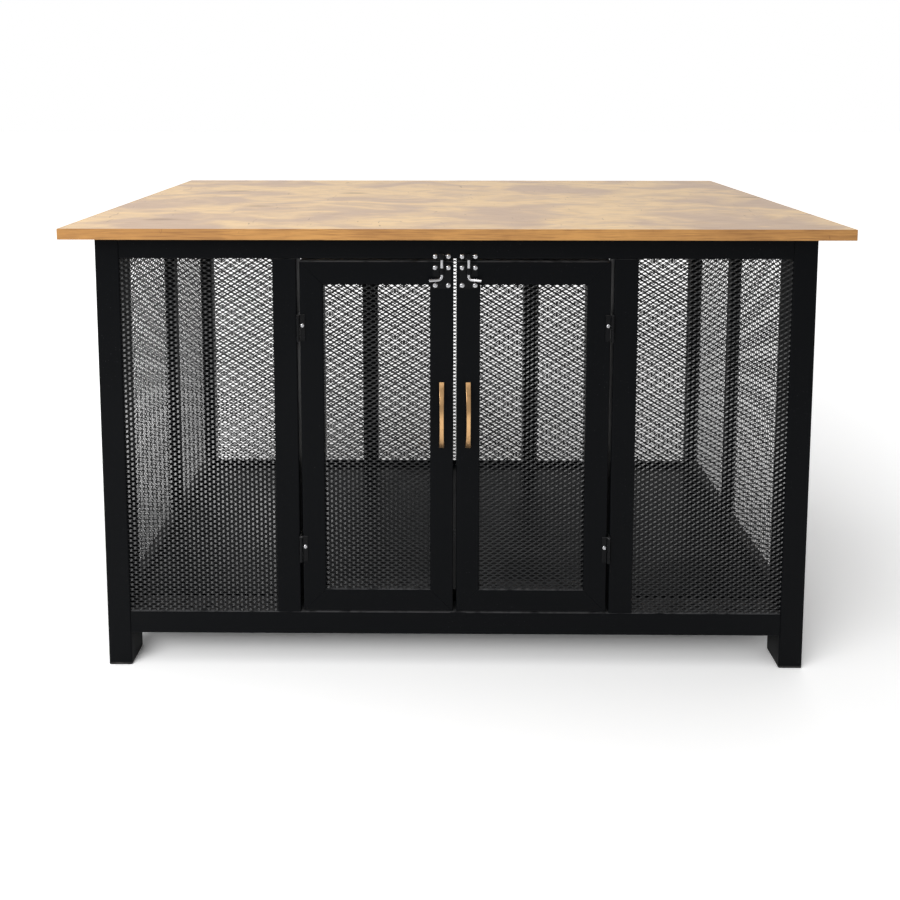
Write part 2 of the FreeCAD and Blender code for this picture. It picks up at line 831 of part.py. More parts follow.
def hinge_leaf_body(name, corners, above):
    """Half of a lift-off hinge about its pin: one knuckle, a tongue and a plate.

    Corners are the left, front, right and back of the tongue and of the plate.
    """
    body = new_body(name)
    centre = (knuckle_length() + size("knuckle_gap")) / 2 * (1 if above else -1)
    barrel = new_sketch(body, name + "_knuckle", "XY_Plane")
    barrel.setExpression("AttachmentOffset.Base.z", centre.text)
    draw_circle(barrel, size("knuckle"))
    pad(body, barrel, knuckle_length(), middle=True)
    tongue, plate = corners
    slab(body, name + "_tongue", tongue, centre, knuckle_length())
    slab(body, name + "_plate", plate, ZERO, size("hinge_height"))
    bore = new_sketch(body, name + "_bore", "XY_Plane")
    draw_circle(bore, size("hinge_pin") + size("pin_fit") * 2)
    pocket(body, bore)
    return body


def slab(body, name, corners, centre, height):
    """A flat piece of hinge leaf, seen from above, about a height."""
    sketch = new_sketch(body, name, "XY_Plane")
    sketch.setExpression("AttachmentOffset.Base.z", centre.text)
    left, front, right, back = corners
    draw_polygon(sketch, [(left, front), (right, front), (right, back), (left, back)])
    pad(body, sketch, height, middle=True)


def door_leaf_body(name, sign):
    """The leaf on the door's face with the upper knuckle."""
    back = size("pin_standoff")
    front = back - size("hinge_sheet")
    near = size("knuckle") / 2 + size("leaf_fit")
    tongue_left, tongue_right = in_order(ZERO, near * -sign)
    left, right = in_order(near * -sign, size("door_leaf_reach") * -sign)
    corners = ((tongue_left, front, tongue_right, back), (left, front, right, back))
    body = hinge_leaf_body(name, corners, above=True)
    hole = new_sketch(body, name + "_hole", "XZ_Plane")
    hole_x = leaf_screw_x(sign) - PIN_X * sign
    draw_ring(hole, SHANK_SIDES, SCREW_HOLE, (hole_x, size("leaf_screw_rise")))
    pocket(body, hole)
    return body


def post_leaf_body(name, sign):
    """The leaf on the door post's side with the lower knuckle."""
    post_side = size("door_side_gap") / 2 * sign
    left, right = in_order(post_side, post_side - size("hinge_sheet") * sign)
    near = size("knuckle") / 2 + size("leaf_fit")
    reach = size("pin_standoff") + size("post_leaf_reach")
    corners = ((left, ZERO, right, near), (left, near, right, reach))
    return hinge_leaf_body(name, corners, above=False)


def add_hinges():
    pin = new_body("hinge_pin")
    outline = new_sketch(pin, "pin_outline", "XY_Plane")
    draw_circle(outline, size("hinge_pin"))
    pad(pin, outline, size("hinge_height"), middle=True)
    pins = []
    post_leaves = []
    for name, sign in SIDES.items():
        door_master = door_leaf_body(name + "_door_leaf", sign)
        post_master = post_leaf_body(name + "_post_leaf", sign)
        door_leaves = []
        for level, z in zip(("low", "high"), HINGE_HEIGHTS):
            where = (PIN_X * sign, PIN_Y, z)
            tag = "%s_%s" % (name, level)
            pins.append(add_copy("pin_" + tag, pin, where))
            post_leaves.append(add_copy("post_leaf_" + tag, post_master, where))
            door_leaves.append(add_copy("door_leaf_" + tag, door_master, where))
        add_group(name + "_door_hinge_leaves", door_leaves)
    add_group("post_hinge_leaves", post_leaves)
    add_group("hinge_pins", pins)


# ---------------------------------------------------------------- sliding bolts

def barrel_on_plate(body, name, plate, run):
    """A tube on a screwed plate. The door's face is the local plane Y = 0."""
    sheet_depth = size("bolt_plate_sheet")
    width, bottom, height, points = plate
    start, length = run
    base = new_sketch(body, name + "_plate", "XZ_Plane")
    draw_rectangle(base, width, height, (ZERO, bottom + height / 2))
    pad(body, base, sheet_depth)
    tube = new_sketch(body, name + "_tube", "XY_Plane")
    tube.setExpression("AttachmentOffset.Base.z", start.text)
    draw_circle(tube, BARREL, (ZERO, -BORE_STANDOFF))
    pad(body, tube, length)
    bore = new_sketch(body, name + "_bore", "XY_Plane")
    draw_circle(bore, BORE, (ZERO, -BORE_STANDOFF))
    pocket(body, bore)
    holes = new_sketch(body, name + "_holes", "XZ_Plane")
    for point in points:
        draw_ring(holes, SHANK_SIDES, SCREW_HOLE, point)
    pocket(body, holes)


def add_bolt_barrel(name, sign):
    """A short barrel near the top of its plate."""
    label = name + "_bolt_barrel"
    body = new_body(label)
    height = size("bolt_plate_height")
    length = size("barrel_height")
    points = [(u, height / 2 + v) for u, v in bolt_screw_points()]
    plate = (size("bolt_plate_width"), ZERO, height, points)
    barrel_on_plate(body, label, plate, (height - size("barrel_drop") - length, length))
    place(body, (LOCK_STILE_CENTRE * sign, FRONT, BOLT_PLATE_BOTTOM))
    keep(body, label)


def draw_bend(sketch, top, radius, reach):
    """An upright line, a quarter turn and a level line, from the top down."""
    start = (ZERO, top)
    bend_start = (ZERO, radius)
    bend_end = (radius, ZERO)
    tip = (reach, ZERO)
    ends = [Vector(u.value, v.value, 0) for u, v in (start, bend_start, bend_end, tip)]
    centre = Vector(radius.value, radius.value, 0)
    circle = Part.Circle(centre, Vector(0, 0, 1), radius.value)
    upright = sketch.addGeometry(Part.LineSegment(ends[0], ends[1]), False)
    turn = sketch.addGeometry(Part.ArcOfCircle(circle, math.pi, math.pi * 3 / 2), False)
    level = sketch.addGeometry(Part.LineSegment(ends[2], ends[3]), False)
    constrain(sketch, "Coincident", upright, 2, turn, 1)
    constrain(sketch, "Coincident", turn, 2, level, 1)
    places = ((upright, 1, start), (upright, 2, bend_start), (level, 1, bend_end), (level, 2, tip))
    for line, point, place_of_end in places:
        for kind, length in zip(("DistanceX", "DistanceY"), place_of_end):
            bind(sketch, kind, (-1, 1, line, point), length)
    bind(sketch, "Radius", (turn,), radius)


def add_bolt_rod(name, sign):
    """The sliding rod, bent at its lower end into an arm, drawn as if it pointed to +X."""
    label = name + "_bolt_rod"
    body = new_body(label)
    section = new_sketch(body, label + "_section", "XY_Plane")
    section.setExpression("AttachmentOffset.Base.z", size("rod_above_arm").text)
    draw_ring(section, ROD_SIDES, size("rod"))
    path = new_sketch(body, label + "_path", "XZ_Plane")
    draw_bend(path, size("rod_above_arm"), size("rod_bend"), size("arm_reach"))
    document.recompute()
    rod = body.newObject("PartDesign::AdditivePipe", label + "_sweep")
    rod.Profile = section
    rod.Spine = path
    document.recompute()
    # the arm swings forward, clear of the screws of its plate
    angle = -size("arm_swing").value if sign > 0 else 180 + size("arm_swing").value
    x = LOCK_STILE_CENTRE * sign
    place(body, (x, FRONT - BORE_STANDOFF, ARM_HEIGHT), Rotation(Vector(0, 0, 1), angle))
    keep(body, label)


def add_keepers():
    master = new_body("keeper")
    height = size("keeper_height")
    points = [(u, height / 2) for u, _ in keeper_screw_points()]
    plate = (size("bolt_plate_width"), ZERO, height, points)
    barrel_on_plate(master, "keeper", plate, (ZERO, height))
    copies = []
    for name, sign in SIDES.items():
        where = (LOCK_STILE_CENTRE * sign, FRONT, BAY_TOP)
        copies.append(add_copy("keeper_" + name, master, where))
    add_group("bolt_keepers", copies)


# ---------------------------------------------------------------- handles, stop, screws

def bow_radius(half_chord, rise):
    return (half_chord * half_chord + rise * rise) / (rise * 2)


def draw_bow(sketch, half_chord, chord_at, rise):
    """An arc over an upright chord; it bulges to the left where rise is positive.

    Returns the arc's index and the numbers of its upper and lower end points.
    """
    half = half_chord.value
    left = 1 if rise.value > 0 else -1
    ends = [Vector(chord_at.value, half * left, 0), Vector(chord_at.value, -half * left, 0)]
    middle = Vector((chord_at - rise).value, 0, 0)
    arc = sketch.addGeometry(Part.Arc(ends[0], middle, ends[1]), False)
    upper, lower = (1, 2) if left > 0 else (2, 1)
    for point, end in ((upper, half_chord), (lower, -half_chord)):
        bind(sketch, "DistanceX", (-1, 1, arc, point), chord_at)
        bind(sketch, "DistanceY", (-1, 1, arc, point), end)
    bind(sketch, "Radius", (arc,), bow_radius(half_chord, rise * left))
    return arc, upper, lower


def join_ends(sketch, first, second):
    """A straight line from one end point to another."""
    points = [sketch.getPoint(*first), sketch.getPoint(*second)]
    line = sketch.addGeometry(Part.LineSegment(*points), False)
    constrain(sketch, "Coincident", line, 1, *first)
    constrain(sketch, "Coincident", line, 2, *second)


def handle_body():
    """An arched pull, seen from the side as the space between two bows."""
    body = new_body("pull")
    half = size("handle_length") / 2
    grip = size("handle_thickness")
    out = size("handle_projection")
    side = new_sketch(body, "pull_side", "YZ_Plane")
    outer, outer_top, outer_low = draw_bow(side, half, ZERO, out)
    inner, inner_top, inner_low = draw_bow(side, half - size("handle_foot"), ZERO, out - grip)
    join_ends(side, (outer, outer_top), (inner, inner_top))
    join_ends(side, (outer, outer_low), (inner, inner_low))
    pad(body, side, size("handle_width"), middle=True)

    # a shallow bow off each side leaves the grip narrowest at its middle
    waist = new_sketch(body, "pull_waist", "XZ_Plane")
    edge = size("handle_width") / 2
    depth = edge - size("handle_waist") / 2
    for sign in (-1, 1):
        arc, top, low = draw_bow(waist, half, edge * sign, depth * sign)
        join_ends(waist, (arc, top), (arc, low))
    pocket(body, waist)
    return body


def add_handle(name, sign):
    label = name + "_handle"
    body = handle_body()
    place(body, (LOCK_STILE_CENTRE * sign, FRONT, size("handle_centre_height")))
    keep(body, label)


def add_door_stop():
    """A bent strap over the bottom rail: a lip in front, an upstand behind the doors."""
    body = new_body("door_stop")
    thick = size("stop_sheet")
    back = size("door_depth") + size("stop_fit")
    outline = [
        (-thick, -size("stop_lip")),
        (ZERO, -size("stop_lip")),
        (ZERO, ZERO),
        (back + thick, ZERO),
        (back + thick, size("stop_upstand")),
        (back, size("stop_upstand")),
        (back, thick),
        (-thick, thick),
    ]
    profile = new_sketch(body, "stop_profile", "YZ_Plane")
    draw_polygon(profile, outline)
    pad(body, profile, size("stop_width"), middle=True)
    place(body, (size("stop_offset"), FRONT, BAY_BOTTOM))
    keep(body, "door_stop")


def add_screws():
    """Screws of the doors and of the frame, all copies of one."""
    master = screw_body()
    plate_face = FRONT - size("bolt_plate_sheet")
    leaf_face = FRONT - size("hinge_sheet")
    frame_copies = []
    for name, sign in SIDES.items():
        centre_x = LOCK_STILE_CENTRE * sign
        places = [(centre_x + u, plate_face, BOLT_PLATE_CENTRE + v) for u, v in bolt_screw_points()]
        for z in HINGE_HEIGHTS:
            places.append((leaf_screw_x(sign), leaf_face, z + size("leaf_screw_rise")))
        copies = []
        for index, where in enumerate(places, start=1):
            tag = "%s_door_screw_%d" % (name, index)
            copies.append(add_copy(tag, master, where, FACING_FRONT))
        add_group(name + "_door_screws", copies)
        for index, (u, v) in enumerate(keeper_screw_points(), start=1):
            where = (centre_x + u, plate_face, KEEPER_CENTRE + v)
            tag = "%s_keeper_screw_%d" % (name, index)
            frame_copies.append(add_copy(tag, master, where, FACING_FRONT))
    for index, where in enumerate(bracket_screws(), start=1):
        frame_copies.append(add_copy("bracket_screw_%d" % index, master, where, FACING_DOWN))
    add_group("frame_screws", frame_copies)


# ---------------------------------------------------------------- build

add_frame_tubes()
add_meshes()
add_table()
add_floor()
add_caps()
add_brackets()
for side_name, side_sign in SIDES.items():
    add_door_frame(side_name, side_sign)
    add_door_mesh(side_name, side_sign)
    add_handle(side_name, side_sign)
    add_bolt_barrel(side_name, side_sign)
    add_bolt_rod(side_name, side_sign)
add_hinges()
add_keepers()
add_door_stop()
add_screws()
document.recompute()

for item in document.Objects:
    if "Invalid" in item.State or "Error" in item.State:
        raise RuntimeError("%s does not compute" % item.Name)
os.makedirs("parts", exist_ok=True)
for item in parts:
    shape = item.Shape
    if shape.isNull() or not shape.isValid():
        raise RuntimeError("%s has no sound shape" % item.Label)
    shape.exportStep("parts/%s.step" % item.Label)
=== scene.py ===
# %% [markdown]
# # A dog crate that is also a side table
# The real object is a welded frame of square steel tube, painted with black
# powder, with expanded metal in every bay, two mesh doors at the front and an
# oak look board on top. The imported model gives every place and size. This file
# only adds what makes it look real: rounded tube corners, the fine mesh, the
# turned hardware, the finishes, the light and the camera.

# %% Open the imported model
import json
import math

import bmesh
import bpy
from mathutils import Matrix, Vector


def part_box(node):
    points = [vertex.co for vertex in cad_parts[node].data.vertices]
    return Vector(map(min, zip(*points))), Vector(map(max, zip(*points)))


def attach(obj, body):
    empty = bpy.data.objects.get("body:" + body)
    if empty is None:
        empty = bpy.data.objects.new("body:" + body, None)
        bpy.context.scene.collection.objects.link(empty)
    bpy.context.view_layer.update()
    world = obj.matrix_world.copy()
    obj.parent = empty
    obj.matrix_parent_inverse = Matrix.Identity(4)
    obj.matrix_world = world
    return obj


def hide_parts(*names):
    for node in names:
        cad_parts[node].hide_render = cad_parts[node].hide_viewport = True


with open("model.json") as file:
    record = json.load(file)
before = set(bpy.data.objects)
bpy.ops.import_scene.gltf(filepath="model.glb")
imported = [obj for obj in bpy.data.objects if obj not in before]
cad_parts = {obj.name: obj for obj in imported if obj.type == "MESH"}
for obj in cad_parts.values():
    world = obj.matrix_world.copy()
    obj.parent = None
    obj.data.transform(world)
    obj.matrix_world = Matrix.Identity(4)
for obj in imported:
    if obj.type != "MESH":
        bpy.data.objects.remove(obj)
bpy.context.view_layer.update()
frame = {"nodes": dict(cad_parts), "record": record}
MM = 0.001
X, Y, Z = 0, 1, 2
FACES_AN_AXIS = 0.9
ALONG_AN_AXIS = 0.999
TOUCHING = 0.001 * MM

# %% Look up what each node belongs to
record = frame["record"]
BODY_OF = {}
for body, members in record["behaviour"]["bodies"].items():
    for node in members:
        BODY_OF[node] = body
FINISH_OF = {row["node"]: row["material_slot"] for row in record["subparts"]}
print("finishes:", sorted(set(FINISH_OF.values())))

# %% [markdown]
# ## Working by hand
# Every piece below is modelled the way it would be at the screen: add a
# primitive, go into edit mode, pick faces or edges, use an operator. An operator
# works on all that is selected, and the loaded model arrives selected, so each
# step starts from an empty selection. Faces and edges are picked by where they
# are, which keeps working when a size changes.


# %% Select and edit one piece
def select_nothing():
    if bpy.context.mode != "OBJECT":
        bpy.ops.object.mode_set(mode="OBJECT")
    bpy.ops.object.select_all(action="DESELECT")


def take(piece):
    """Leave this piece alone selected and active, in object mode."""
    select_nothing()
    piece.select_set(True)
    bpy.context.view_layer.objects.active = piece
    return piece


def edit(piece, kind="FACE"):
    """Open a piece in edit mode with nothing picked."""
    take(piece)
    bpy.ops.object.mode_set(mode="EDIT")
    bpy.ops.mesh.select_mode(type=kind)
    bpy.ops.mesh.select_all(action="DESELECT")


def pick(kind, test):
    """In edit mode, pick the edges or faces that pass a test."""
    mesh = bmesh.from_edit_mesh(bpy.context.edit_object.data)
    bpy.ops.mesh.select_all(action="DESELECT")
    picked = [item for item in getattr(mesh, kind) if test(item)]
    for item in picked:
        item.select_set(True)
    bmesh.update_edit_mesh(bpy.context.edit_object.data)


def close_edit():
    bpy.ops.object.mode_set(mode="OBJECT")


# %% Finish a piece
def settle(piece):
    """Write a piece's place into its mesh, so its object sits at the origin."""
    take(piece)
    bpy.ops.object.transform_apply(location=True, rotation=True, scale=True)
    return piece


def use_modifier(piece, kind, **settings):
    """Add a modifier and apply it at once."""
    take(piece)
    modifier = piece.modifiers.new(kind.title(), kind)
    for name, value in settings.items():
        setattr(modifier, name, value)
    bpy.ops.object.modifier_apply(modifier=modifier.name)


def bevel_sharp(piece, width, segments, crease=math.radians(50)):
    """Round only the edges whose faces meet at more than an angle."""
    use_modifier(
        piece, "BEVEL", width=width, segments=segments, limit_method="ANGLE", angle_limit=crease
    )


def join(name, pieces):
    take(pieces[0])
    for piece in pieces:
        piece.select_set(True)
    bpy.ops.object.join()
    whole = bpy.context.object
    whole.name = whole.data.name = name
    return whole


def add_block(name, low, high):
    """A cube primitive stretched between two corners."""
    low, high = Vector(low), Vector(high)
    select_nothing()
    bpy.ops.mesh.primitive_cube_add(size=1, location=(low + high) / 2)
    block = bpy.context.object
    block.name = block.data.name = name
    block.scale = high - low
    return settle(block)


def copy_of(piece, name, offset):
    """A copy with its own mesh, moved by an offset."""
    twin = piece.copy()
    twin.data = piece.data.copy()
    twin.name = twin.data.name = name
    bpy.context.scene.collection.objects.link(twin)
    twin.location = offset
    return settle(twin)


def is_along(edge, axis):
    run = (edge.verts[1].co - edge.verts[0].co).normalized()
    return abs(run[axis]) > ALONG_AN_AXIS


# %% [markdown]
# ## Nodes for the finishes
# A finish is a small network. What several finishes share, such as the skin of
# powder paint, is built once as a node group with named inputs, and each
# material sets its own values on it.


# %% Small helpers for node trees
def add_node(tree, kind, inputs=None, **settings):
    """Add a node; an input is given a value, or the output that feeds it."""
    item = tree.nodes.new("ShaderNode" + kind)
    for name, value in settings.items():
        setattr(item, name, value)
    for name, value in (inputs or {}).items():
        if isinstance(value, bpy.types.NodeSocket):
            tree.links.new(value, item.inputs[name])
        else:
            item.inputs[name].default_value = value
    return item


def mix_colors(tree, factor, first, second):
    inputs = {0: factor, 6: first, 7: second}
    return add_node(tree, "Mix", inputs, data_type="RGBA").outputs[2]


def math_node(tree, operation, first, second=0.0):
    inputs = {0: first, 1: second}
    return add_node(tree, "Math", inputs, operation=operation).outputs[0]


def ramp(tree, factor, low, high):
    """Stretch the part of a pattern between two levels to 0 and 1."""
    inputs = {"Value": factor, "From Min": low, "From Max": high}
    return add_node(tree, "MapRange", inputs, interpolation_type="SMOOTHSTEP").outputs[0]


def stretched(tree, scale):
    """Object coordinates, scaled by axis: a large scale makes fine detail."""
    place = add_node(tree, "TexCoord").outputs["Object"]
    return add_node(tree, "Mapping", {"Vector": place, "Scale": scale}).outputs[0]


def noise(tree, vector, scale, detail=2.0, distortion=0.0):
    inputs = {"Vector": vector, "Scale": scale, "Detail": detail, "Distortion": distortion}
    return add_node(tree, "TexNoise", inputs).outputs[0]


def new_group(name, inputs, outputs):
    """A node group; inputs hold label, kind and first value, outputs label and kind."""
    tree = bpy.data.node_groups.new(name, "ShaderNodeTree")
    for label, kind, value in inputs:
        socket = tree.interface.new_socket(label, in_out="INPUT", socket_type="NodeSocket" + kind)
        socket.default_value = value
    for label, kind in outputs:
        tree.interface.new_socket(label, in_out="OUTPUT", socket_type="NodeSocket" + kind)
    entry = tree.nodes.new("NodeGroupInput")
    leave = tree.nodes.new("NodeGroupOutput")
    return tree, entry, leave


def use_group(tree, group, **values):
    item = tree.nodes.new("ShaderNodeGroup")
    item.node_tree = group
    for name, value in values.items():
        item.inputs[name.replace("_", " ")].default_value = value
    return item


# %% [markdown]
# ### Powder paint
# Powder is sprayed on dry and melted in an oven. It flows into a skin that is
# smooth from afar and faintly dimpled from close by, like the peel of an orange.
# Handling leaves broad, weak patches where the shine differs. Dust lies as specks
# everywhere; the grey film on what faces up is partly dust, partly painted highlight.

# %% Group: the skin of powder paint
FLOW_SCALE = 55.0
PATCH_SCALE = 9.0
SPECK_SCALE = 480.0
FLOW_SHARE = 0.8
SPECK_SHARE = 0.5
powder_skin, entry, leave = new_group(
    "powder skin",
    [
        ("Paint", "Color", (0.01, 0.01, 0.01, 1)),
        ("Dust", "Color", (0.05, 0.05, 0.05, 1)),
        ("Settled", "Float", 0.5),
        ("Dimple Scale", "Float", 700.0),
        ("Dullest", "Float", 0.5),
        ("Shiniest", "Float", 0.35),
    ],
    [("Color", "Color"), ("Roughness", "Float"), ("Height", "Float")],
)
place = stretched(powder_skin, (1, 1, 1))
dimples = noise(powder_skin, place, entry.outputs["Dimple Scale"], 1.5)
flow = noise(powder_skin, place, FLOW_SCALE, 2.0)
height = math_node(powder_skin, "MULTIPLY", flow, FLOW_SHARE)
height = math_node(powder_skin, "ADD", dimples, height)
patches = ramp(powder_skin, noise(powder_skin, place, PATCH_SCALE, 4.0, 0.4), 0.35, 0.72)
specks = ramp(powder_skin, noise(powder_skin, place, SPECK_SCALE, 3.0), 0.66, 0.74)
dust_and_highlight = math_node(powder_skin, "MULTIPLY", patches, SPECK_SHARE)
dust_and_highlight = math_node(powder_skin, "MULTIPLY", specks, dust_and_highlight)
# What faces up gets a lighter grey: settled dust and a painted highlight along top faces.
facing = add_node(powder_skin, "TexCoord").outputs["Normal"]
upward = ramp(powder_skin, add_node(powder_skin, "SeparateXYZ", {0: facing}).outputs[Z], 0.45, 0.95)
top_dust_and_highlight = math_node(powder_skin, "MULTIPLY", upward, ramp(powder_skin, flow, 0.2, 0.6))
top_dust_and_highlight = math_node(powder_skin, "MULTIPLY", top_dust_and_highlight, entry.outputs["Settled"])
dust_and_highlight = math_node(powder_skin, "MAXIMUM", dust_and_highlight, top_dust_and_highlight)
color = mix_colors(powder_skin, dust_and_highlight, entry.outputs["Paint"], entry.outputs["Dust"])
shine = {"Value": patches, "To Min": entry.outputs["Shiniest"], "To Max": entry.outputs["Dullest"]}
rough = add_node(powder_skin, "MapRange", shine)
powder_skin.links.new(color, leave.inputs["Color"])
powder_skin.links.new(rough.outputs[0], leave.inputs["Roughness"])
powder_skin.links.new(height, leave.inputs["Height"])
print("group", powder_skin.name, "has", len(powder_skin.nodes), "nodes")


# %% Start a material
def new_material(name, **settings):
    """A Principled material; settings are the sockets that stay the same all over."""
    material = bpy.data.materials.new(name)
    material.use_nodes = True
    tree = material.node_tree
    shader = tree.nodes["Principled BSDF"]
    for label, value in settings.items():
        shader.inputs[label.replace("_", " ")].default_value = value
    return material, tree, shader


def add_bump(tree, shader, height, distance, strength=1.0):
    inputs = {"Height": height, "Distance": distance, "Strength": strength}
    bump = add_node(tree, "Bump", inputs)
    tree.links.new(bump.outputs[0], shader.inputs["Normal"])


# %% The black painted finishes
DIMPLE_DEPTH = 0.012 * MM
# Grey of the dust specks, also used as the painted highlight on top faces.
DUST_AND_HIGHLIGHT = (0.085, 0.085, 0.088, 1)


def powder_material(name, specular, **values):
    """Values go to the inputs of the powder skin."""
    material, tree, shader = new_material(name, Specular_IOR_Level=specular)
    skin = use_group(tree, powder_skin, Dust=DUST_AND_HIGHLIGHT, **values)
    tree.links.new(skin.outputs["Color"], shader.inputs["Base Color"])
    tree.links.new(skin.outputs["Roughness"], shader.inputs["Roughness"])
    add_bump(tree, shader, skin.outputs["Height"], DIMPLE_DEPTH)
    return material


finish = {}
# Each finish sets its own amount of grey on top faces: dust plus a painted highlight.
finish["black_steel"] = powder_material(
    "black_steel",
    specular=0.05,
    Paint=(0.0027, 0.0031, 0.0038, 1),
    Settled=0.8,
    Dimple_Scale=700.0,
    Shiniest=0.3,
    Dullest=0.44,
)
finish["black_mesh"] = powder_material(
    "black_mesh",
    specular=0.6,
    Paint=(0.003, 0.0034, 0.0042, 1),
    Settled=0.1,
    Dimple_Scale=900.0,
    Shiniest=0.24,
    Dullest=0.36,
)
finish["black_tray"] = powder_material(
    "black_tray",
    specular=0.1,
    Paint=(0.003, 0.0036, 0.005, 1),
    Settled=0.01,
    Dimple_Scale=500.0,
    Shiniest=0.26,
    Dullest=0.42,
)
finish["black_hardware"] = powder_material(
    "black_hardware",
    specular=0.1,
    Paint=(0.003, 0.0032, 0.0038, 1),
    Settled=0.6,
    Dimple_Scale=1500.0,
    Shiniest=0.2,
    Dullest=0.32,
)
print("painted finishes:", sorted(finish))

# %% [markdown]
# ### Moulded plastic
# The caps in the legs are injection moulded. Their mould was spark eroded, which
# leaves a fine even texture, and the soles are scuffed by the floor.

# %% The leg cap plastic
material, tree, shader = new_material("black_plastic", Specular_IOR_Level=0.35)
place = stretched(tree, (1, 1, 1))
texture = noise(tree, place, 1800.0, 2.0)
scuffs = ramp(tree, noise(tree, stretched(tree, (60, 60, 400)), 1.0, 4.0), 0.55, 0.7)
black, scuffed = (0.009, 0.009, 0.009, 1), (0.05, 0.048, 0.045, 1)
tree.links.new(mix_colors(tree, scuffs, black, scuffed), shader.inputs["Base Color"])
rough = {"Value": scuffs, "To Min": 0.55, "To Max": 0.8}
tree.links.new(add_node(tree, "MapRange", rough).outputs[0], shader.inputs["Roughness"])
add_bump(tree, shader, texture, 0.02 * MM)
finish["black_plastic"] = material

# %% [markdown]
# ### Bare metal
# Screws, pins and bolts are zinc plated: bright, slightly blue, with a fine
# random grain. The pulls are plated a warm gold and brushed along their length,
# so their grain is a noise that is stretched along Z.

# %% Group: brushed or plated metal
metal_grain, entry, leave = new_group(
    "metal grain",
    [
        ("Metal", "Color", (0.8, 0.8, 0.8, 1)),
        ("Tarnish", "Color", (0.5, 0.5, 0.5, 1)),
        ("Grain", "Vector", (1000.0, 1000.0, 1000.0)),
        ("Smoothest", "Float", 0.2),
        ("Roughest", "Float", 0.35),
    ],
    [("Color", "Color"), ("Roughness", "Float"), ("Height", "Float")],
)
place = add_node(metal_grain, "TexCoord").outputs["Object"]
grained = {0: place, 1: entry.outputs["Grain"]}
grained = add_node(metal_grain, "VectorMath", grained, operation="MULTIPLY").outputs[0]
lines = noise(metal_grain, grained, 1.0, 3.0)
stains = ramp(metal_grain, noise(metal_grain, place, 160.0, 3.0), 0.5, 0.8)
color = mix_colors(metal_grain, stains, entry.outputs["Metal"], entry.outputs["Tarnish"])
shine = {"Value": lines, "To Min": entry.outputs["Smoothest"], "To Max": entry.outputs["Roughest"]}
rough = add_node(metal_grain, "MapRange", shine)
metal_grain.links.new(color, leave.inputs["Color"])
metal_grain.links.new(rough.outputs[0], leave.inputs["Roughness"])
metal_grain.links.new(lines, leave.inputs["Height"])


# %% The bare metal finishes
GRAIN_DEPTH = 0.004 * MM


def metal_material(name, **values):
    """Values go to the inputs of the metal grain."""
    material, tree, shader = new_material(name, Metallic=1.0)
    skin = use_group(tree, metal_grain, **values)
    tree.links.new(skin.outputs["Color"], shader.inputs["Base Color"])
    tree.links.new(skin.outputs["Roughness"], shader.inputs["Roughness"])
    add_bump(tree, shader, skin.outputs["Height"], GRAIN_DEPTH)
    return material


finish["bright_steel"] = metal_material(
    "bright_steel",
    Metal=(0.55, 0.55, 0.57, 1),
    Tarnish=(0.36, 0.36, 0.37, 1),
    Grain=(1500.0, 1500.0, 1500.0),
    Smoothest=0.16,
    Roughest=0.34,
)
finish["brushed_gold"] = metal_material(
    "brushed_gold",
    Metal=(0.66, 0.40, 0.19, 1),
    Tarnish=(0.5, 0.28, 0.12, 1),
    Grain=(4000.0, 4000.0, 120.0),
    Smoothest=0.24,
    Roughest=0.42,
)

# %% [markdown]
# ### Oak laminate
# The board is chipboard under a printed oak decor. The print mixes three things:
# broad clouds where the colour drifts from straw to a dull mauve brown, a fine
# straight grain along the length, and small marks: knots, and short cracks that
# run across the grain. Each has its scale by axis, and a scale that is smaller
# along X draws the pattern out along the board. The print is covered by a matt
# resin, so the bump is slight.

# %% Group: the oak figure
CLOUD_SCALE = (6.0, 10.0, 10.0)
VEIN_SCALE = (17, 44, 44)
GRAIN_SCALE = (22, 520, 520)
KNOT_SCALE = (3.1, 9.0, 9.0)
CRACK_SCALE = (130, 24, 24)
VEIN_SHARE = 0.45
KNOT_SHARE = 0.6
CRACK_SHARE = 0.7
oak_figure, entry, leave = new_group(
    "oak figure",
    [
        ("Straw", "Color", (0.6, 0.4, 0.2, 1)),
        ("Brown", "Color", (0.4, 0.25, 0.15, 1)),
        ("Mark", "Color", (0.2, 0.12, 0.07, 1)),
        ("Cloudiness", "Float", 0.7),
        ("Grain", "Float", 0.4),
    ],
    [("Color", "Color"), ("Roughness", "Float"), ("Height", "Float")],
)
cloudiness = entry.outputs["Cloudiness"]
clouds = noise(oak_figure, stretched(oak_figure, CLOUD_SCALE), 1.0, 7.0, 0.7)
clouds = ramp(oak_figure, clouds, 0.4, 0.62)
veins = noise(oak_figure, stretched(oak_figure, VEIN_SCALE), 1.0, 6.0, 1.4)
veins = ramp(oak_figure, veins, 0.44, 0.66)
fine = noise(oak_figure, stretched(oak_figure, GRAIN_SCALE), 1.0, 4.0, 0.15)
fine = ramp(oak_figure, fine, 0.4, 0.75)
amount = math_node(oak_figure, "MULTIPLY", clouds, cloudiness)
color = mix_colors(oak_figure, amount, entry.outputs["Straw"], entry.outputs["Brown"])
amount = math_node(oak_figure, "MULTIPLY", cloudiness, VEIN_SHARE)
amount = math_node(oak_figure, "MULTIPLY", veins, amount)
color = mix_colors(oak_figure, amount, color, entry.outputs["Brown"])
amount = math_node(oak_figure, "MULTIPLY", fine, entry.outputs["Grain"])
color = mix_colors(oak_figure, amount, color, entry.outputs["Mark"])
spots = {"Vector": stretched(oak_figure, KNOT_SCALE), "Scale": 1.0, "Randomness": 1.0}
knots = add_node(oak_figure, "TexVoronoi", spots).outputs["Distance"]
knots = math_node(oak_figure, "MULTIPLY", ramp(oak_figure, knots, 0.13, 0.03), KNOT_SHARE)
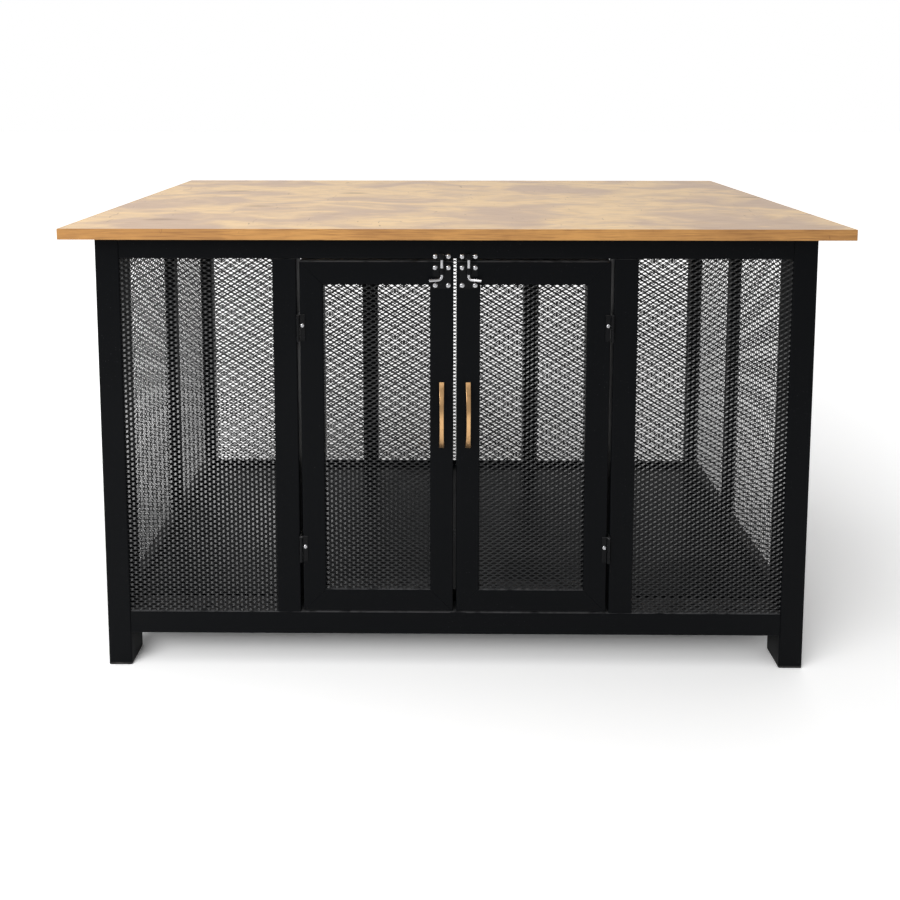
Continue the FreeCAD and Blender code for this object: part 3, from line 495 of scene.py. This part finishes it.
cracks = noise(oak_figure, stretched(oak_figure, CRACK_SCALE), 1.0, 2.0, 1.2)
cracks = math_node(oak_figure, "MULTIPLY", ramp(oak_figure, cracks, 0.7, 0.75), CRACK_SHARE)
marks = math_node(oak_figure, "MAXIMUM", knots, cracks)
color = mix_colors(oak_figure, marks, color, entry.outputs["Mark"])
rough = add_node(oak_figure, "MapRange", {"Value": fine, "To Min": 0.42, "To Max": 0.56})
oak_figure.links.new(color, leave.inputs["Color"])
oak_figure.links.new(rough.outputs[0], leave.inputs["Roughness"])
oak_figure.links.new(math_node(oak_figure, "ADD", fine, marks), leave.inputs["Height"])


# %% The board and its edge band
def oak_material(name, depth, **values):
    """Values go to the inputs of the oak figure."""
    material, tree, shader = new_material(name, Specular_IOR_Level=0.45)
    figure = use_group(tree, oak_figure, **values)
    tree.links.new(figure.outputs["Color"], shader.inputs["Base Color"])
    tree.links.new(figure.outputs["Roughness"], shader.inputs["Roughness"])
    add_bump(tree, shader, figure.outputs["Height"], depth, 0.6)
    return material


finish["oak_board"] = oak_material(
    "oak_board",
    depth=0.05 * MM,
    Straw=(0.75, 0.525, 0.28, 1),
    Brown=(0.49, 0.345, 0.25, 1),
    Mark=(0.22, 0.13, 0.075, 1),
    Cloudiness=0.9,
    Grain=0.24,
)
finish["oak_edge"] = oak_material(
    "oak_edge",
    depth=0.04 * MM,
    Straw=(0.55, 0.275, 0.077, 1),
    Brown=(0.385, 0.18, 0.05, 1),
    Mark=(0.23, 0.098, 0.027, 1),
    Cloudiness=0.7,
    Grain=0.65,
)
for slot in set(FINISH_OF.values()):
    assert slot in finish, slot
print("finishes made:", sorted(finish))


# %% [markdown]
# ## Putting a piece in place of its node
# A new piece moves with the body of the node that it stands for, hides that
# node, and takes its finish.

# %% Stand a piece in for nodes
def ride_along(piece, node, slot):
    """Let a piece move with a node's body; this alone hides nothing."""
    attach(piece, BODY_OF[node])
    piece.data.materials.clear()
    piece.data.materials.append(finish[slot])
    return piece


def stand_in(piece, *nodes):
    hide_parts(*nodes)
    return ride_along(piece, nodes[0], FINISH_OF[nodes[0]])


# %% [markdown]
# ## Square tube
# Tube is rolled from strip, so its four long corners are round, and that soft
# line of light along each corner is what makes a black frame readable. A block
# with its ends taken off and its long edges bevelled gives the outside, and
# Solidify gives the wall. Door members are cut at 45 degrees before that.

# %% Make one tube
WALL = 1.5 * MM
CORNER = 2.4 * MM
CUT_EDGE = 0.35 * MM
SMOOTH_ANGLE = math.radians(35)


def smooth_flats(piece):
    """Smooth shading that keeps broad flat faces flat."""
    take(piece)
    bpy.ops.object.shade_smooth_by_angle(angle=SMOOTH_ANGLE)
    use_modifier(piece, "WEIGHTED_NORMAL", keep_sharp=True, weight=80)


def add_tube(name, low, high, along, mitres=()):
    """A rounded tube; each mitre is a point on the saw's plane and its normal."""
    tube = add_block(name, low, high)
    edit(tube)
    pick("faces", lambda face: abs(face.normal[along]) > FACES_AN_AXIS)
    bpy.ops.mesh.delete(type="ONLY_FACE")
    bpy.ops.mesh.select_mode(type="EDGE")
    pick("edges", lambda edge: is_along(edge, along))
    bpy.ops.mesh.bevel(offset=CORNER, segments=3, affect="EDGES")
    for point, normal in mitres:
        bpy.ops.mesh.select_all(action="SELECT")
        bpy.ops.mesh.bisect(plane_co=point, plane_no=normal, clear_outer=True)
    close_edit()
    use_modifier(tube, "SOLIDIFY", thickness=WALL, offset=-1)
    bevel_sharp(tube, CUT_EDGE, 1)
    smooth_flats(tube)
    return tube


# %% Which way each straight tube runs
TUBES = {}
for side in ("left", "right"):
    for post in ("front_post_", "rear_post_", "door_post_", "back_post_", "side_post_"):
        TUBES[post + side] = Z
    for rail in ("side_top_rail_", "side_bottom_rail_"):
        TUBES[rail + side] = Y
for rail in ("front_top_rail", "front_bottom_rail", "rear_top_rail", "rear_bottom_rail"):
    TUBES[rail] = X
for node, along in TUBES.items():
    low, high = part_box(node)
    stand_in(add_tube("tube_" + node, low, high, along), node)
print("straight tubes:", len(TUBES))

# %% The two bearers under the tray
low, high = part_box("floor_bearers")
bearer_width = high[Z] - low[Z]
bearers = [
    add_tube("bearer_left", low, (low[X] + bearer_width, high[Y], high[Z]), Y),
    add_tube("bearer_right", (high[X] - bearer_width, low[Y], low[Z]), high, Y),
]
stand_in(join("tray_bearers", bearers), "floor_bearers")


# %% The mitred door members
def door_mitres(kind, low, high, inward):
    """The saw planes of a door member; inward points in X to the door's middle."""
    outer_x = low[X] if inward > 0 else high[X]
    if kind.endswith("stile"):
        return [
            ((outer_x, 0, high[Z]), (inward, 0, 1)),
            ((outer_x, 0, low[Z]), (inward, 0, -1)),
        ]
    up = 1 if kind == "top_rail" else -1
    outer_z = high[Z] if up > 0 else low[Z]
    return [((low[X], 0, outer_z), (-1, 0, -up)), ((high[X], 0, outer_z), (1, 0, -up))]


for side, outward in (("left", -1), ("right", 1)):
    for kind in ("hinge_stile", "lock_stile", "top_rail", "bottom_rail"):
        node = "%s_door_%s" % (side, kind)
        low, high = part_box(node)
        inward = -outward if kind == "hinge_stile" else outward
        along = Z if kind.endswith("stile") else X
        mitres = door_mitres(kind, low, high, inward)
        stand_in(add_tube("tube_" + node, low, high, along, mitres), node)
print("door members: 8")

# %% [markdown]
# ## Expanded metal
# Steel sheet is slit in staggered rows and pulled open, so the slits become
# diamonds. Where four strands meet there is a bond twice as wide as a strand,
# and every strand leans out of the sheet's plane. One bond with its two strands
# to the right is modelled by hand, a second is copied half a diamond over and
# up, and two Array modifiers fill the bay. A bisect trims each side of it.

# %% One bond and its two strands
LONG_WAY = 13.7 * MM
SHORT_WAY = 8.3 * MM
STRAND = 1.85 * MM  # also half the height of a bond
SHEET = 0.9 * MM
BOND = 3.0 * MM
LEAN = math.radians(32)


def is_right_end(face):
    return face.normal.x > FACES_AN_AXIS


def add_bond():
    bond = add_block("bond", (-BOND / 2, -SHEET / 2, -STRAND), (BOND / 2, SHEET / 2, STRAND))
    edit(bond)
    bpy.ops.mesh.select_all(action="SELECT")
    bpy.ops.mesh.bisect(plane_co=(0, 0, 0), plane_no=(0, 0, 1))
    bpy.ops.mesh.select_all(action="SELECT")
    bpy.ops.transform.rotate(value=LEAN, orient_axis="X", center_override=(0, 0, 0))
    pick("faces", lambda face: face.normal.x < -FACES_AN_AXIS)
    bpy.ops.mesh.delete(type="ONLY_FACE")
    for up in (1, -1):
        pick("faces", lambda face: is_right_end(face) and face.calc_center_median().z * up > 0)
        mesh = bmesh.from_edit_mesh(bond.data)
        face = next(item for item in mesh.faces if item.select)
        start = face.calc_center_median()
        run = (LONG_WAY / 2 - BOND, -2 * start.y, SHORT_WAY / 2 * up - 2 * start.z)
        bpy.ops.mesh.extrude_region_move(TRANSFORM_OT_translate={"value": run})
        bpy.ops.mesh.delete(type="ONLY_FACE")
    bpy.ops.mesh.select_all(action="SELECT")
    half = (LONG_WAY / 2, 0, SHORT_WAY / 2)
    bpy.ops.mesh.duplicate_move(TRANSFORM_OT_translate={"value": half})
    close_edit()
    return bond


bond = add_bond()
print("faces in a pair of bonds:", len(bond.data.polygons))


# %% Fill a bay with it
START = 0.75
MERGE_REACH = 0.02 * MM


def fill_bay(name, width, height):
    """A mesh panel in the XZ plane from the origin, trimmed to its bay.

    The pattern starts the same part of a diamond before the bay in both ways.
    """
    panel = copy_of(bond, name, (-START * LONG_WAY, 0, -START * SHORT_WAY))
    columns = math.ceil(width / LONG_WAY) + 2
    rows = math.ceil(height / SHORT_WAY) + 2
    for count, step in ((columns, (LONG_WAY, 0, 0)), (rows, (0, 0, SHORT_WAY))):
        use_modifier(
            panel,
            "ARRAY",
            count=count,
            use_relative_offset=False,
            use_constant_offset=True,
            constant_offset_displace=step,
        )
    edit(panel)
    bpy.ops.mesh.select_all(action="SELECT")
    bpy.ops.mesh.remove_doubles(threshold=MERGE_REACH)
    for point, normal in (
        ((0, 0, 0), (-1, 0, 0)),
        ((width, 0, 0), (1, 0, 0)),
        ((0, 0, 0), (0, 0, -1)),
        ((0, 0, height), (0, 0, 1)),
    ):
        bpy.ops.mesh.select_all(action="SELECT")
        bpy.ops.mesh.bisect(plane_co=point, plane_no=normal, clear_outer=True, use_fill=True)
    close_edit()
    return panel


# %% Hang a panel in every bay
MESH_NODES = [node for node, slot in FINISH_OF.items() if slot == "black_mesh"]
faces_in_all = 0
for node in sorted(MESH_NODES):
    low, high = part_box(node)
    across = X if high[X] - low[X] > high[Y] - low[Y] else Y
    panel = fill_bay("mesh_" + node, high[across] - low[across], high[Z] - low[Z])
    middle = (low + high) / 2
    if across == Y:
        panel.rotation_euler.z = math.radians(90)
        panel.location = (middle[X], low[Y], low[Z])
    else:
        panel.location = (low[X], middle[Y], low[Z])
    stand_in(settle(panel), node)
    faces_in_all += len(panel.data.polygons)
bpy.data.objects.remove(bond)
print("mesh panels:", len(MESH_NODES), "with", faces_in_all, "faces")

# %% [markdown]
# ## The board
# The board's edge band is a 1 mm strip glued round it and scraped to a small
# radius. The seam between strip and top shows as a thin line because both edges
# are slightly rounded there.

# %% Board and band
BOARD_EDGE = 0.25 * MM
low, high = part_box("table_core")
core = add_block("board", low, high)
use_modifier(core, "BEVEL", width=BOARD_EDGE, segments=2)
smooth_flats(core)
stand_in(core, "table_core")

BAND_EDGE = 0.4 * MM
BAND_CORNER = 0.9 * MM
BOARD_SIZED = 0.5
low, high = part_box("table_edge_band")
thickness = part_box("table_core")[0][X] - low[X]
band = add_block("edge_band", low, high)
edit(band)
for up in (1, -1):
    pick("faces", lambda face: face.normal.z * up > FACES_AN_AXIS)
    bpy.ops.mesh.inset(thickness=thickness)
pick("faces", lambda face: abs(face.normal.z) > FACES_AN_AXIS and face.calc_area() > BOARD_SIZED)
bpy.ops.mesh.bridge_edge_loops()
bpy.ops.mesh.select_mode(type="EDGE")
pick("edges", lambda edge: is_along(edge, Z) and abs(edge.verts[0].co.x) > high[X] - thickness / 2)
bpy.ops.mesh.bevel(offset=BAND_CORNER, segments=3, affect="EDGES")
close_edit()
bevel_sharp(band, BAND_EDGE, 2)
smooth_flats(band)
stand_in(band, "table_edge_band")
print("band faces:", len(band.data.polygons))

# %% [markdown]
# ## The floor tray
# One sheet, folded up on four sides. An open block whose lower edges are
# bevelled gives the folds, and Solidify gives the sheet's thickness.

# %% Fold the tray
FOLD_RADIUS = 2.5 * MM
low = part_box("floor_tray")[0]
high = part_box("tray_rim")[1]
tray = add_block("tray", low, high)
edit(tray)
pick("faces", lambda face: face.normal.z > FACES_AN_AXIS)
bpy.ops.mesh.delete(type="ONLY_FACE")
bpy.ops.mesh.select_mode(type="EDGE")
pick("edges", lambda edge: not edge.is_boundary)
bpy.ops.mesh.bevel(offset=FOLD_RADIUS, segments=3, affect="EDGES")
close_edit()
use_modifier(tray, "SOLIDIFY", thickness=WALL, offset=-1)
smooth_flats(tray)
stand_in(tray, "floor_tray", "tray_rim")

# %% [markdown]
# ## Leg caps
# Each cap is a foot with a rounded sole and a plug that grips inside the tube.

# %% Make the four caps
CAP_HEIGHT = 4 * MM
PLUG_INSET = WALL + 0.3 * MM
PLUG_HEIGHT = 16 * MM
SOLE_RADIUS = 1.8 * MM


def top_of(edge):
    return max(vert.co.z for vert in edge.verts)


def add_cap(name, low, high):
    """A cap under a post whose box is given."""
    foot = add_block(name, (low[X], low[Y], 0), (high[X], high[Y], CAP_HEIGHT))
    edit(foot)
    pick("faces", lambda face: face.normal.z > FACES_AN_AXIS)
    bpy.ops.mesh.inset(thickness=PLUG_INSET)
    bpy.ops.mesh.extrude_region_move(TRANSFORM_OT_translate={"value": (0, 0, PLUG_HEIGHT)})
    bpy.ops.mesh.select_mode(type="EDGE")
    pick("edges", lambda edge: is_along(edge, Z) and top_of(edge) < CAP_HEIGHT + MM)
    bpy.ops.mesh.bevel(offset=CORNER, segments=3, affect="EDGES")
    pick("edges", lambda edge: top_of(edge) < TOUCHING)
    bpy.ops.mesh.bevel(offset=SOLE_RADIUS, segments=4, affect="EDGES")
    close_edit()
    smooth_flats(foot)
    return foot


for caps, post in (("front_leg_caps", "front_post_"), ("rear_leg_caps", "rear_post_")):
    pair = [add_cap("cap_" + side, *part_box(post + side)) for side in ("left", "right")]
    stand_in(join("caps_" + post.rstrip("_"), pair), caps)
print("leg caps: 4")

# %% [markdown]
# ## Hardware
# The solids of the pulls, bolts and hinges have the right shape but sharp edges.
# A copy of each has its flat faces cleaned, its edges rounded and its round
# stretches shaded smooth, so that it catches light as stamped metal does.


# %% Round the edges of a copy
FLAT_ANGLE = math.radians(1)
HARDWARE_CREASE = math.radians(32)


def refined(node, radius, segments):
    source = frame["nodes"][node]
    piece = bpy.data.objects.new("fine_" + node, source.data.copy())
    piece.data.name = piece.name
    bpy.context.scene.collection.objects.link(piece)
    piece.matrix_world = source.matrix_world
    settle(piece)
    edit(piece)
    bpy.ops.mesh.select_all(action="SELECT")
    bpy.ops.mesh.remove_doubles(threshold=TOUCHING)
    bpy.ops.mesh.dissolve_limited(angle_limit=FLAT_ANGLE)
    close_edit()
    bevel_sharp(piece, radius, segments, HARDWARE_CREASE)
    smooth_flats(piece)
    return stand_in(piece, node)


# %% Pulls, bolts, hinges and straps
EDGE_RADIUS = {
    "left_handle": 1.5,
    "right_handle": 1.5,
    "left_bolt_rod": 0.6,
    "right_bolt_rod": 0.6,
    "left_bolt_barrel": 0.25,
    "right_bolt_barrel": 0.25,
    "bolt_keepers": 0.25,
    "left_door_hinge_leaves": 0.2,
    "right_door_hinge_leaves": 0.2,
    "post_hinge_leaves": 0.2,
    "hinge_pins": 0.3,
    "top_brackets": 0.4,
    "door_stop": 0.3,
}
for node, radius in EDGE_RADIUS.items():
    refined(node, radius * MM, 4 if "handle" in node else 2)
print("refined:", len(EDGE_RADIUS))


# %% [markdown]
# ## Screws
# All screws are alike: a low dome with a cross recess. Each head goes where the
# packed screw is and is turned a little differently, as screws are left. The
# bolts and keepers, which sit near the middle, have broader heads.

# %% Find the separate solids of a node
def islands(node):
    """The box of each separate solid in a node."""
    source = frame["nodes"][node]
    shape = bmesh.new()
    shape.from_mesh(source.data)
    shape.transform(source.matrix_world)
    bmesh.ops.remove_doubles(shape, verts=shape.verts, dist=TOUCHING)
    waiting = set(shape.verts)
    boxes = []
    while waiting:
        found = [waiting.pop()]
        for vert in found:
            for edge in vert.link_edges:
                other = edge.other_vert(vert)
                if other in waiting:
                    waiting.remove(other)
                    found.append(other)
        low = Vector([min(vert.co[axis] for vert in found) for axis in (X, Y, Z)])
        high = Vector([max(vert.co[axis] for vert in found) for axis in (X, Y, Z)])
        boxes.append((low, high))
    shape.free()
    return sorted(boxes, key=lambda box: tuple(box[0]))


# %% One screw head, facing the front
HEAD_WIDTH = 7 * MM
HEAD_HEIGHT = 2.2 * MM
RECESS_LENGTH = 3.8 * MM
RECESS_WIDTH = 0.8 * MM
RECESS_DEPTH = 1.2 * MM
select_nothing()
bpy.ops.mesh.primitive_uv_sphere_add(segments=24, ring_count=12, radius=HEAD_WIDTH / 2)
screw_head = bpy.context.object
screw_head.scale.z = HEAD_HEIGHT / (HEAD_WIDTH / 2)
screw_head.rotation_euler.x = math.radians(90)
settle(screw_head)
edit(screw_head)
bpy.ops.mesh.select_all(action="SELECT")
bpy.ops.mesh.bisect(plane_co=(0, 0, 0), plane_no=(0, 1, 0), clear_outer=True, use_fill=True)
close_edit()
for half in ((RECESS_LENGTH / 2, RECESS_WIDTH / 2), (RECESS_WIDTH / 2, RECESS_LENGTH / 2)):
    low = (-half[0], -HEAD_HEIGHT - MM, -half[1])
    high = (half[0], -HEAD_HEIGHT + RECESS_DEPTH, half[1])
    cutter = add_block("cutter", low, high)
    use_modifier(screw_head, "BOOLEAN", object=cutter, operation="DIFFERENCE")
    bpy.data.objects.remove(cutter)
take(screw_head)
bpy.ops.object.shade_smooth_by_angle(angle=SMOOTH_ANGLE)
print("faces in a screw head:", len(screw_head.data.polygons))

# %% Put a head on every screw
TURN_STEP = math.radians(37)
BOLT_REACH = 100 * MM
BROADER = 1.17
for node in ("left_door_screws", "right_door_screws", "frame_screws"):
    heads = []
    for index, (low, high) in enumerate(islands(node)):
        middle = (low + high) / 2
        hangs = high[Z] - low[Z] > high[Y] - low[Y]
        spread = BROADER if abs(middle[X]) < BOLT_REACH and not hangs else 1.0
        if hangs:
            place = Vector((middle[X], middle[Y], low[Z] + HEAD_HEIGHT))
        else:
            place = Vector((middle[X], low[Y] + HEAD_HEIGHT, middle[Z]))
        turn = Matrix.Rotation(index * TURN_STEP, 4, "Y")
        if hangs:
            turn = Matrix.Rotation(math.radians(90), 4, "X") @ turn
        head = screw_head.copy()
        head.data = screw_head.data.copy()
        bpy.context.scene.collection.objects.link(head)
        widened = Matrix.Diagonal((spread, 1, spread, 1))
        head.matrix_world = Matrix.Translation(place) @ turn @ widened
        heads.append(settle(head))
    stand_in(join("heads_of_" + node, heads), node)
    print(node, len(heads), "heads")
bpy.data.objects.remove(screw_head)

# %% [markdown]
# ## Welds
# Each corner of a bay is tacked with a short weld, a row of small scallops of
# paint-covered metal just behind the frame's face. They are what glints in the
# corners of the doors.

# %% Tack the corners of every bay
SCALLOP = 1.9 * MM
SCALLOP_STEP = 1.7 * MM
SCALLOPS = 5
FACE_GAP = 2.2 * MM
welds = 0
for node in sorted(MESH_NODES):
    low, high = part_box(node)
    across = X if high[X] - low[X] > high[Y] - low[Y] else Y
    through = Y if across == X else X
    inward = 1 if low[through] < 0 else -1
    face = low[through] if inward > 0 else high[through]
    beads = []
    for corner in (low[across], high[across]):
        for level in (low[Z], high[Z]):
            place = Vector((0, 0, level))
            place[across] = corner
            place[through] = face + FACE_GAP * inward
            select_nothing()
            bpy.ops.mesh.primitive_uv_sphere_add(
                segments=10, ring_count=6, radius=SCALLOP, location=place
            )
            bead = settle(bpy.context.object)
            step = Vector((0, 0, 0))
            step[through] = SCALLOP_STEP * inward
            use_modifier(
                bead,
                "ARRAY",
                count=SCALLOPS,
                use_relative_offset=False,
                use_constant_offset=True,
                constant_offset_displace=step,
            )
            bpy.ops.object.shade_smooth()
            beads.append(bead)
            welds += 1
    ride_along(join("welds_" + node, beads), node, "black_steel")
print("welds:", welds)

# %% See that every node has its stand-in
bare = [node for node, piece in frame["nodes"].items() if not piece.hide_render]
print("nodes without a stand-in:", bare)

# %% [markdown]
# ## Studio
# The photograph was taken before a white backdrop with soft light from above and
# the left. The backdrop is white to the camera and in reflections, and the room
# behind the camera is dark in reflections, darkest at the left. What the
# surroundings give as light is lower, so that a colour renders as it is written.

# %% White surroundings
LIGHT_STRENGTH = 0.62
ROOM_LEFT = 0.12
ROOM_RIGHT = 0.42
BACKDROP_LEAN = 0.6
world = bpy.data.worlds.new("studio")
bpy.context.scene.world = world
world.use_nodes = True
tree = world.node_tree
tree.nodes.clear()
seen = add_node(tree, "LightPath").outputs
direct = math_node(tree, "MAXIMUM", seen["Is Camera Ray"], seen["Is Glossy Ray"])
direct = math_node(tree, "MAXIMUM", direct, seen["Is Transmission Ray"])
look = add_node(tree, "SeparateXYZ", {0: add_node(tree, "TexCoord").outputs["Generated"]})
lowered = math_node(tree, "MULTIPLY", look.outputs[Z], BACKDROP_LEAN)
lowered = math_node(tree, "SUBTRACT", look.outputs[Y], lowered)
backdrop = ramp(tree, lowered, -0.1, 0.6)
room = {"Value": look.outputs[X], "From Min": -0.5, "From Max": 0.5}
room.update({"To Min": ROOM_LEFT, "To Max": ROOM_RIGHT})
room = add_node(tree, "MapRange", room).outputs[0]
mirrored = math_node(tree, "MAXIMUM", backdrop, room)
white = math_node(tree, "MAXIMUM", seen["Is Camera Ray"], seen["Is Transmission Ray"])
mirrored = math_node(tree, "MAXIMUM", mirrored, white)
light = add_node(tree, "Background", {"Color": (1, 1, 1, 1), "Strength": LIGHT_STRENGTH})
surroundings = add_node(tree, "Background", {"Color": (1, 1, 1, 1), "Strength": mirrored})
choice = add_node(tree, "MixShader", {0: direct, 1: light.outputs[0], 2: surroundings.outputs[0]})
output = tree.nodes.new("ShaderNodeOutputWorld")
tree.links.new(choice.outputs[0], output.inputs["Surface"])

# %% Floor
# how white it is as a source of light, in reflections, and to the camera, where
# it brightens with distance because the lamps reach it less
FLOOR_WHITE = 0.9
FLOOR_MIRRORED = 1.1
FLOOR_SEEN = 1.25
FLOOR_FAR = 1.9
NEAR_END = 0.8
FAR_START = 3.0
select_nothing()
bpy.ops.mesh.primitive_plane_add(size=30, location=(0, 0, 0))
floor = bpy.context.object
floor.name = "studio_floor"
material = bpy.data.materials.new("studio_floor")
material.use_nodes = True
tree = material.node_tree
tree.nodes.clear()
seen = add_node(tree, "LightPath").outputs
white = {"Value": seen["Is Glossy Ray"], "To Min": FLOOR_WHITE, "To Max": FLOOR_MIRRORED}
white = add_node(tree, "MapRange", white).outputs[0]
place = add_node(tree, "TexCoord").outputs["Object"]
away = add_node(tree, "VectorMath", {0: place}, operation="LENGTH").outputs["Value"]
near_to_far = {"Value": away, "From Min": NEAR_END, "From Max": FAR_START}
near_to_far.update({"To Min": FLOOR_SEEN, "To Max": FLOOR_FAR})
near_to_far = add_node(tree, "MapRange", near_to_far).outputs[0]
white = {"Value": seen["Is Camera Ray"], "To Min": white, "To Max": near_to_far}
white = add_node(tree, "MapRange", white)
paint = add_node(tree, "BsdfDiffuse", {"Color": white.outputs[0]})
output = tree.nodes.new("ShaderNodeOutputMaterial")
tree.links.new(paint.outputs[0], output.inputs["Surface"])
floor.data.materials.append(material)


# %% Lamps
def add_lamp(name, location, target, size, power):
    select_nothing()
    bpy.ops.object.light_add(type="AREA", location=location)
    lamp = bpy.context.object
    lamp.name = name
    lamp.data.shape = "RECTANGLE"
    lamp.data.size, lamp.data.size_y = size
    lamp.data.energy = power
    aim = Vector(target) - Vector(location)
    lamp.rotation_euler = aim.to_track_quat("-Z", "Y").to_euler()


add_lamp(
    "softbox_above", location=(-0.7, -0.3, 2.6), target=(0, 0, 0.5), size=(2.4, 1.6), power=18
)
add_lamp(
    "strip_left", location=(-1.5, -1.95, 1.8), target=(-0.1, -0.28, 0.4), size=(2.2, 0.45), power=40
)
print("lamps: 2")

# %% [markdown]
# ## Camera
# The photograph was taken from a little left of the middle, above the board's
# height and almost level, and its frame was shifted down, which is why the
# uprights stay upright. The lens and the shift were worked out from the corners
# of the board and frame.

# %% Camera
FRAME_PIXELS = 900
FOCAL_PIXELS = 733.0
AXIS_PIXEL = (435.0, 147.8)
SENSOR_WIDTH = 36
LOOKS_DOWN = 4.44
TURNED_LEFT = 0.42
camera_data = bpy.data.cameras.new("camera")
camera = bpy.data.objects.new("camera", camera_data)
bpy.context.scene.collection.objects.link(camera)
camera_data.sensor_width = SENSOR_WIDTH
camera_data.lens = SENSOR_WIDTH * FOCAL_PIXELS / FRAME_PIXELS
camera_data.shift_x = 0.5 - AXIS_PIXEL[0] / FRAME_PIXELS
camera_data.shift_y = AXIS_PIXEL[1] / FRAME_PIXELS - 0.5
camera.location = (-0.0233, -1.4063, 0.9367)
camera.rotation_euler = (math.radians(90 - LOOKS_DOWN), 0, math.radians(TURNED_LEFT))
bpy.context.scene.camera = camera
bpy.context.scene.view_settings.view_transform = "Standard"
print("lens %.1f mm" % camera_data.lens)
print("shift %.3f %.3f" % (camera_data.shift_x, camera_data.shift_y))
